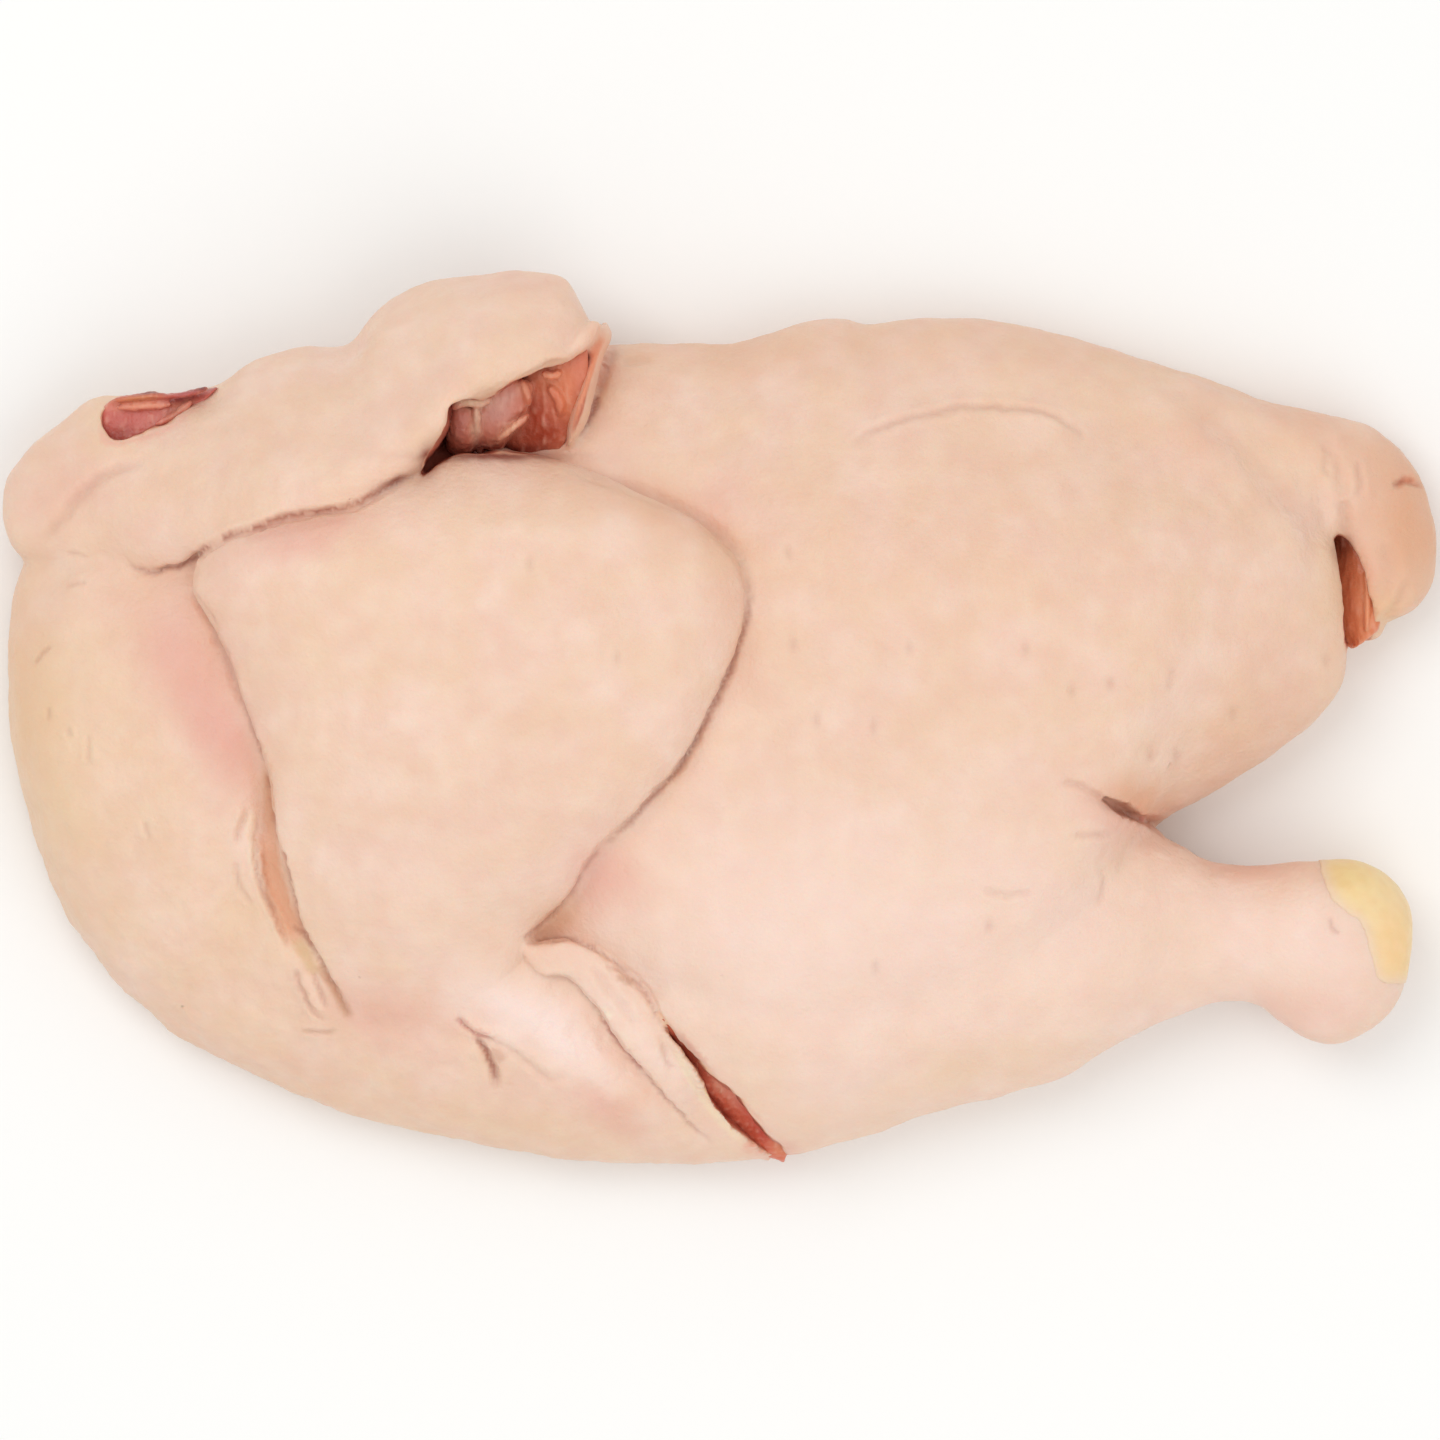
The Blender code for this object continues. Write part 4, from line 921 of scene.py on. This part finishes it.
def paint_skin(obj, settings, depth):
    """Paints the skin. depth is how deep each point lies in a cut."""
    points, normals = points_of(obj), normals_of(obj)
    layers = []
    for tint, size, most in BLOTCHES:
        blotch = field(points, size, most * 7) + 0.4 * field(points, size / 2.5, size)
        layers.append((linear(tint), most * np.clip(0.5 + blotch, 0, 1)))
    broad = wandering(points, 7, (2.2, 8.8), 1.6)
    # Milky spots are partly a painted highlight, and rosy and tan spots are partly painted shade.
    for tint, places in (
        (settings.milky_and_highlight, MILKY_AND_HIGHLIGHT),
        (settings.fat, FAT),
        (settings.rosy_and_shade, ROSY_AND_SHADE),
        (settings.tan, TAN_AND_SHADE),
    ):
        layers.append((tint, patches(broad, places)))
    # What was seen from above is painted weakly on steep sides, or it would run down them.
    level = np.clip((normals[:, 2] - 0.35) * 2.5, 0.1, 1)
    fine = wandering(points, 2, (5.5, 7.7), 0.4)
    layers.append((settings.orange, patches(fine, ORANGE) * np.maximum(level, 0.3)))
    spots = on_creases(points)
    for line, width, most, code in STROKES:
        some, d, _, along = beside_crease(spots, line, 3 * width)
        amount = np.zeros(len(points))
        amount[some] = most * fading(along) * np.exp(-((d / width) ** 4)) * level[some]
        layers.append((linear(code), amount))
    # Painted shade at the bottom of each crease's fold; the feather marks get a little of the same
    # colour.
    seam = np.zeros(len(points))
    for line, width, _, dark, _, _ in CREASES:
        some, d, _, along = beside_crease(spots, line, 3 * width)
        low = low_in_fold(points[some, 2], normals[some, 2] > 0.75, d, along)
        shade = dark * fading(along) * np.exp(-((d / (width * 0.9)) ** 2)) * low
        seam[some] = np.maximum(seam[some], shade)
    for mark in feather_marks(points):
        seam = np.maximum(seam, 0.14 * mark)
    # The painted shade of the creases, then the darkest painted shade deep in the folds.
    layers += [(settings.seam, seam), (settings.deep_shade, patches(fine, DEEP_SHADE))]
    # The sides of the cuts: the skin's pale edge, the muscle, and painted shade deep in the cut.
    for start, over, most, code in CUT_LAYERS:
        layers.append((linear(code), np.minimum((depth - start) / over, most)))
    painted(obj, settings.peach, layers)


def thin_out(obj, triangles):
    """Collapses edges down to a count of triangles, first where the surface is flat."""
    count = sum(p.loop_total - 2 for p in obj.data.polygons)
    if count > triangles:
        apply_modifier(obj, "DECIMATE", ratio=triangles / count)


def add_node(tree, kind, links=(), **settings):
    """Adds a shader node with its settings, its sockets' values and the links into it."""
    node = tree.nodes.new(kind)
    values = settings.pop("values", {})
    for key, value in settings.items():
        setattr(node, key, value)
    for key, value in values.items():
        node.inputs[key].default_value = value
    for key, output in dict(links).items():
        tree.links.new(output, node.inputs[key])
    return node


def new_material(name, shader_values):
    """A material with a Principled BSDF, its node tree and the shader."""
    material = bpy.data.materials.new(name)
    material.use_nodes = True
    tree = material.node_tree
    shader = tree.nodes["Principled BSDF"]
    for key, value in shader_values.items():
        shader.inputs[key].default_value = value
    return material, tree, shader


def flesh_material(name, roughness, reach, grain, height):
    """Soft moist tissue that reads its painted colour.

    roughness is how dull its wet film is, and reach how far light goes below the surface, in
    metres. grain and height are the size of its finest bumps in metres.
    """
    material, tree, shader = new_material(
        name,
        {
            "Roughness": roughness,
            "IOR": 1.4,
            "Subsurface Weight": 0.2,
            "Subsurface Radius": (1.0, 0.4, 0.24),
            "Subsurface Scale": reach,
        },
    )
    colour_now = add_node(tree, "ShaderNodeAttribute", attribute_name="colour")
    tree.links.new(colour_now.outputs["Color"], shader.inputs["Base Color"])
    place = add_node(tree, "ShaderNodeTexCoord")
    bumps = add_node(
        tree, "ShaderNodeTexNoise", links={"Vector": place.outputs["Object"]},
        values={"Scale": 1 / grain, "Detail": 2.0, "Roughness": 0.6},
    )
    relief = add_node(
        tree, "ShaderNodeBump", links={"Height": bumps.outputs[0]},
        values={"Strength": 1.0, "Distance": height},
    )
    tree.links.new(relief.outputs[0], shader.inputs["Normal"])
    return material


def finish_piece(obj, material, nodes):
    """Gives a piece its material, says what it rides on, and hides the imported parts it stands in
    for.
    """
    obj.data.materials.clear()
    obj.data.materials.append(material)
    obj.data.shade_smooth()
    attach(obj, "root")
    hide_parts(*nodes)
    bpy.ops.object.select_all(action="DESELECT")


def strand(name, line, heights, width, thickness):
    """A tendon or a strip of fat: a flattened rod along a line, thinner at its ends."""
    count = max(int(steps_of(line).sum() / 0.4), 10)
    shares = np.linspace(0.01, 0.99, count)
    path, z = smooth_line(line, shares), values_along(heights, shares)
    slope = np.gradient(path, axis=0)
    slope /= np.linalg.norm(slope, axis=1, keepdims=True)
    side = np.column_stack([-slope[:, 1], slope[:, 0]])
    around = 14
    turn = np.arange(around) / around * 2 * math.pi
    full = np.sqrt(1 - np.abs(2 * shares - 1) ** 4)[:, None]
    wander = field(np.column_stack([path, z]), 2.0, 4.0)[:, None] * 0.15 + 1
    plan = path[:, None] + side[:, None] * (np.cos(turn) * full * wander * width / 2)[..., None]
    top = z[:, None] + np.sin(turn) * full * thickness / 2
    rings = np.dstack([plan, top])
    ends = np.vstack([rings[0].mean(axis=0), rings[-1].mean(axis=0)])
    return mesh_object(name, np.vstack([rings.reshape(-1, 3), ends]), mass_faces(count, around))


class HALFCHICKEN_OT_skin(bpy.types.Operator):
    """Model the skin over the whole bird, open where the meat shows"""

    bl_idname = "half_chicken.skin"
    bl_label = "Skin"

    def execute(self, context):
        settings = context.scene.half_chicken_skin
        crisp = ("breast_fold", "knee_fold", "wing_skin_edge")
        soft = {name: mass for name, mass in MASSES.items() if name not in crisp}
        obj = lofts("skin_whole", soft, 1.0, low=HEM)
        remesh(obj, settings.voxel * 1.6, smoothing=5)
        folds = {**{name: MASSES[name] for name in crisp}, **SKIN_LIPS}
        loose = lofts("folds", folds, 0.6, low=HEM)
        remesh(loose, settings.voxel, smoothing=2)
        combine(obj, loose, "UNION")
        whole = BVHTree.FromObject(obj, context.evaluated_depsgraph_get())
        cutter = lofts("cutter", SKIN_CUTS, 0.6)
        remesh(cutter, settings.voxel)
        # Torn edges, not clean ones.
        points, normals = points_of(cutter), normals_of(cutter)
        move_points(cutter, points + normals * (field(points, 1.8, 3.3) * 0.35)[:, None])
        cut_out = BVHTree.FromObject(cutter, context.evaluated_depsgraph_get())
        combine(obj, cutter, "DIFFERENCE")
        remesh(obj, settings.voxel, smoothing=2)
        sculpt(obj, settings)
        thin_out(obj, SKIN_TRIANGLES)
        paint_skin(obj, settings, depth_in_cuts(points_of(obj), whole, cut_out))
        # Raw chicken skin, plucked and moist: thin and see-through over muscle and fat, so the
        # light that spreads in it softens every fold, and fine wrinkles break its gloss.
        material = flesh_material(
            "raw_chicken_skin", roughness=0.47, reach=0.0035, grain=0.0012, height=0.00022
        )
        finish_piece(obj, material, ["skin"])
        return {"FINISHED"}


def covered(points):
    """Which points of the skin the yellow skin of the shank covers."""
    x, y, z = points.T
    _, side, _ = beside(np.column_stack([x + field(points, 4, 6.0) * 0.4, y]), CAP_EDGE)
    past_the_edge = (x > 134) & (y > -51.8)
    return ((side > 0) | past_the_edge) & (z > 7)


class HALFCHICKEN_OT_shank_cap(bpy.types.Operator):
    """Model the yellow skin on the shank's end, as a thin layer over the skin"""

    bl_idname = "half_chicken.shank_cap"
    bl_label = "Shank cap"

    def execute(self, context):
        settings = context.scene.half_chicken_meat
        source = bpy.data.objects["skin_whole"]
        obj = bpy.data.objects.new("shank_cap_skin", source.data.copy())
        context.scene.collection.objects.link(obj)
        # The knuckle and no more, with smaller faces for a clean edge.
        self.keep(obj, points_of(obj)[:, 0] > 112)
        self.keep(obj, points_of(obj)[:, 1] < -20)
        apply_modifier(obj, "SUBSURF", subdivision_type="SIMPLE", levels=2, render_levels=2)
        self.keep(obj, covered(points_of(obj)))
        sunk, thickness = 0.6, 0.0009
        move_points(obj, points_of(obj) - normals_of(obj) * sunk)
        apply_modifier(obj, "SOLIDIFY", thickness=thickness, offset=1.0, use_rim=True)
        remesh(obj, settings.voxel, smoothing=6)
        points = points_of(obj)
        d, _, _ = beside(points, CAP_EDGE)
        grain = [
            (linear("#EBC07E"), np.clip(0.5 + field(points, 2.5, 3.6), 0, 1) * 0.25),
            (linear("#F2D0B6"), np.exp(-((d / 1.7) ** 2)) * 0.85),
        ]
        painted(obj, settings.shank, coloured_spots(points, CAP_SPOTS) + grain)
        # Horny yellow foot skin with its scales gone: waxy and smoother than the rest.
        material = flesh_material(
            "yellow_foot_skin", roughness=0.42, reach=0.0025, grain=0.0011, height=0.00015
        )
        finish_piece(obj, material, ["shank_cap"])
        return {"FINISHED"}

    def keep(self, obj, wanted):
        """Deletes the points that aren't wanted."""
        bm = bmesh.new()
        bm.from_mesh(obj.data)
        bm.verts.ensure_lookup_table()
        others = [bm.verts[i] for i in np.flatnonzero(~wanted).tolist()]
        bmesh.ops.delete(bm, geom=others, context="VERTS")
        bm.to_mesh(obj.data)
        bm.free()


class HALFCHICKEN_OT_meat(bpy.types.Operator):
    """Model the muscle, tendon and bone that show where the skin is cut open"""

    bl_idname = "half_chicken.meat"
    bl_label = "Meat"

    def execute(self, context):
        settings = context.scene.half_chicken_meat
        # Freshly cut muscle: wet and glossy, with light that goes deep into it.
        material = flesh_material(
            "raw_cut_meat", roughness=0.3, reach=0.0025, grain=settings.fibre, height=0.0002
        )
        for name, piece in MEAT.items():
            obj = lofts(name, piece["masses"], 0.5)
            for strip in piece["strands"]:
                join_into(obj, strand("strip", *strip))
            remesh(obj, settings.voxel, smoothing=2)
            points, normals = points_of(obj), normals_of(obj)
            fibres = field(points, 0.9, 2.0, (1, 4, 1)) + 0.6 * field(points, 2.0, 6.0)
            move_points(obj, points + normals * (fibres * 0.14)[:, None])
            grain = [(linear("#EDB8A0"), np.clip(fibres - 0.2, 0, 1) * 0.4)]
            spots = coloured_spots(points, piece["spots"])
            painted(obj, linear(piece["colour"]), spots + grain)
            finish_piece(obj, material, ["meat"])
        return {"FINISHED"}


class HALFCHICKEN_OT_cut_side(bpy.types.Operator):
    """Model the flat cut side that the bird lies on, with the meat inside the skin's edge"""

    bl_idname = "half_chicken.cut_side"
    bl_label = "Cut side"

    def execute(self, context):
        settings = context.scene.half_chicken_meat
        inner = {name: MASSES[name] for name in ("body", "drumstick")}
        obj = lofts("cut_side", inner, 1.6, inset=3.2, low=0.0, high=5.0)
        remesh(obj, 0.0014, smoothing=4)
        points = points_of(obj)
        points[:, 2] -= points[:, 2].min()
        grain = field(points, 2.2, 3.0, (6, 1, 1))
        points[:, 2] += (grain * 0.15 + 0.24) * (points[:, 2] < 1)
        points[:, 2] -= points[:, 2].min()
        move_points(obj, points)
        layers = [
            (linear("#B9604F"), np.clip(0.4 + field(points, 18, 1.0), 0, 1) * 0.5),
            (linear("#E4AC98"), np.clip(grain * 0.5 + 0.1, 0, 1)),
            (linear("#E9C9A0"), np.clip(field(points, 9, 4.0) - 0.35, 0, 1)),
        ]
        painted(obj, settings.muscle, layers)
        # The flat face of sawn muscle, drier than a fresh cut.
        material = flesh_material(
            "raw_sawn_meat", roughness=0.42, reach=0.0025, grain=settings.fibre, height=0.0002
        )
        finish_piece(obj, material, ["meat"])
        return {"FINISHED"}


class HALFCHICKEN_OT_stage(bpy.types.Operator):
    """Set the floor, the soft light and the camera that looks straight down"""

    bl_idname = "half_chicken.stage"
    bl_label = "Stage"

    def execute(self, context):
        settings = context.scene.half_chicken_stage
        bpy.ops.object.select_all(action="DESELECT")
        bpy.ops.mesh.primitive_plane_add(size=6, location=(0, 0, -0.0002))
        floor = context.object
        floor.name = "floor"
        material, _, _ = new_material(
            "pale_paper",
            {"Base Color": (*settings.floor, 1), "Roughness": 0.9, "Specular IOR Level": 0.1},
        )
        floor.data.materials.append(material)

        world = bpy.data.worlds.new("surround")
        context.scene.world = world
        world.use_nodes = True
        background = world.node_tree.nodes["Background"]
        background.inputs["Color"].default_value = (1, 1, 1, 1)
        background.inputs["Strength"].default_value = settings.surround

        for name, place, size, power in (
            ("key", (-0.4, 0.45, 1.3), 0.8, settings.key),
            ("fill", (0.5, -0.6, 1.2), 1.0, settings.key * 0.75),
        ):
            lamp = bpy.data.lights.new(name, "AREA")
            lamp.size = size
            lamp.energy = power
            light = bpy.data.objects.new(name, lamp)
            light.location = place
            light.rotation_euler = (-Vector(place)).to_track_quat("-Z", "Y").to_euler()
            context.scene.collection.objects.link(light)

        camera = bpy.data.objects.new("camera", bpy.data.cameras.new("camera"))
        camera.data.lens = settings.lens
        camera.data.sensor_width = 36
        camera.data.clip_end = 30
        # The frame's width is true at the height of the bird's widest outline.
        outline = 0.012
        away = settings.frame_width * settings.lens / camera.data.sensor_width
        camera.location = (-0.0002, 0, away + outline)
        context.scene.collection.objects.link(camera)
        context.scene.camera = camera
        context.scene.view_settings.view_transform = "Standard"
        return {"FINISHED"}


class HALFCHICKEN_PT_panel(bpy.types.Panel):
    """The pieces of the half chicken and their settings"""

    bl_idname = "HALFCHICKEN_PT_panel"
    bl_label = "Half chicken"
    bl_space_type = "VIEW_3D"
    bl_region_type = "UI"
    bl_category = "Half chicken"

    def draw(self, context):
        for operator in OPERATORS:
            self.layout.operator(operator.bl_idname)
        for name in SETTINGS:
            group = getattr(context.scene, name)
            box = self.layout.box()
            for key in group.bl_rna.properties.keys():
                if key not in {"rna_type", "name"}:
                    box.prop(group, key)


SETTINGS = {
    "half_chicken_skin": SkinSettings,
    "half_chicken_meat": MeatSettings,
    "half_chicken_stage": StageSettings,
}
OPERATORS = (
    HALFCHICKEN_OT_skin,
    HALFCHICKEN_OT_shank_cap,
    HALFCHICKEN_OT_meat,
    HALFCHICKEN_OT_cut_side,
    HALFCHICKEN_OT_stage,
)


def register():
    for cls in (*SETTINGS.values(), *OPERATORS, HALFCHICKEN_PT_panel):
        bpy.utils.register_class(cls)
    for name, group in SETTINGS.items():
        setattr(bpy.types.Scene, name, PointerProperty(type=group))


def unregister():
    for name in SETTINGS:
        delattr(bpy.types.Scene, name)
    for cls in (HALFCHICKEN_PT_panel, *reversed(OPERATORS), *reversed(SETTINGS.values())):
        bpy.utils.unregister_class(cls)


def main():
    register()
    bpy.ops.half_chicken.skin()
    bpy.ops.half_chicken.shank_cap()
    bpy.ops.half_chicken.meat()
    bpy.ops.half_chicken.cut_side()
    bpy.ops.half_chicken.stage()


if __name__ == "__main__":
    main()
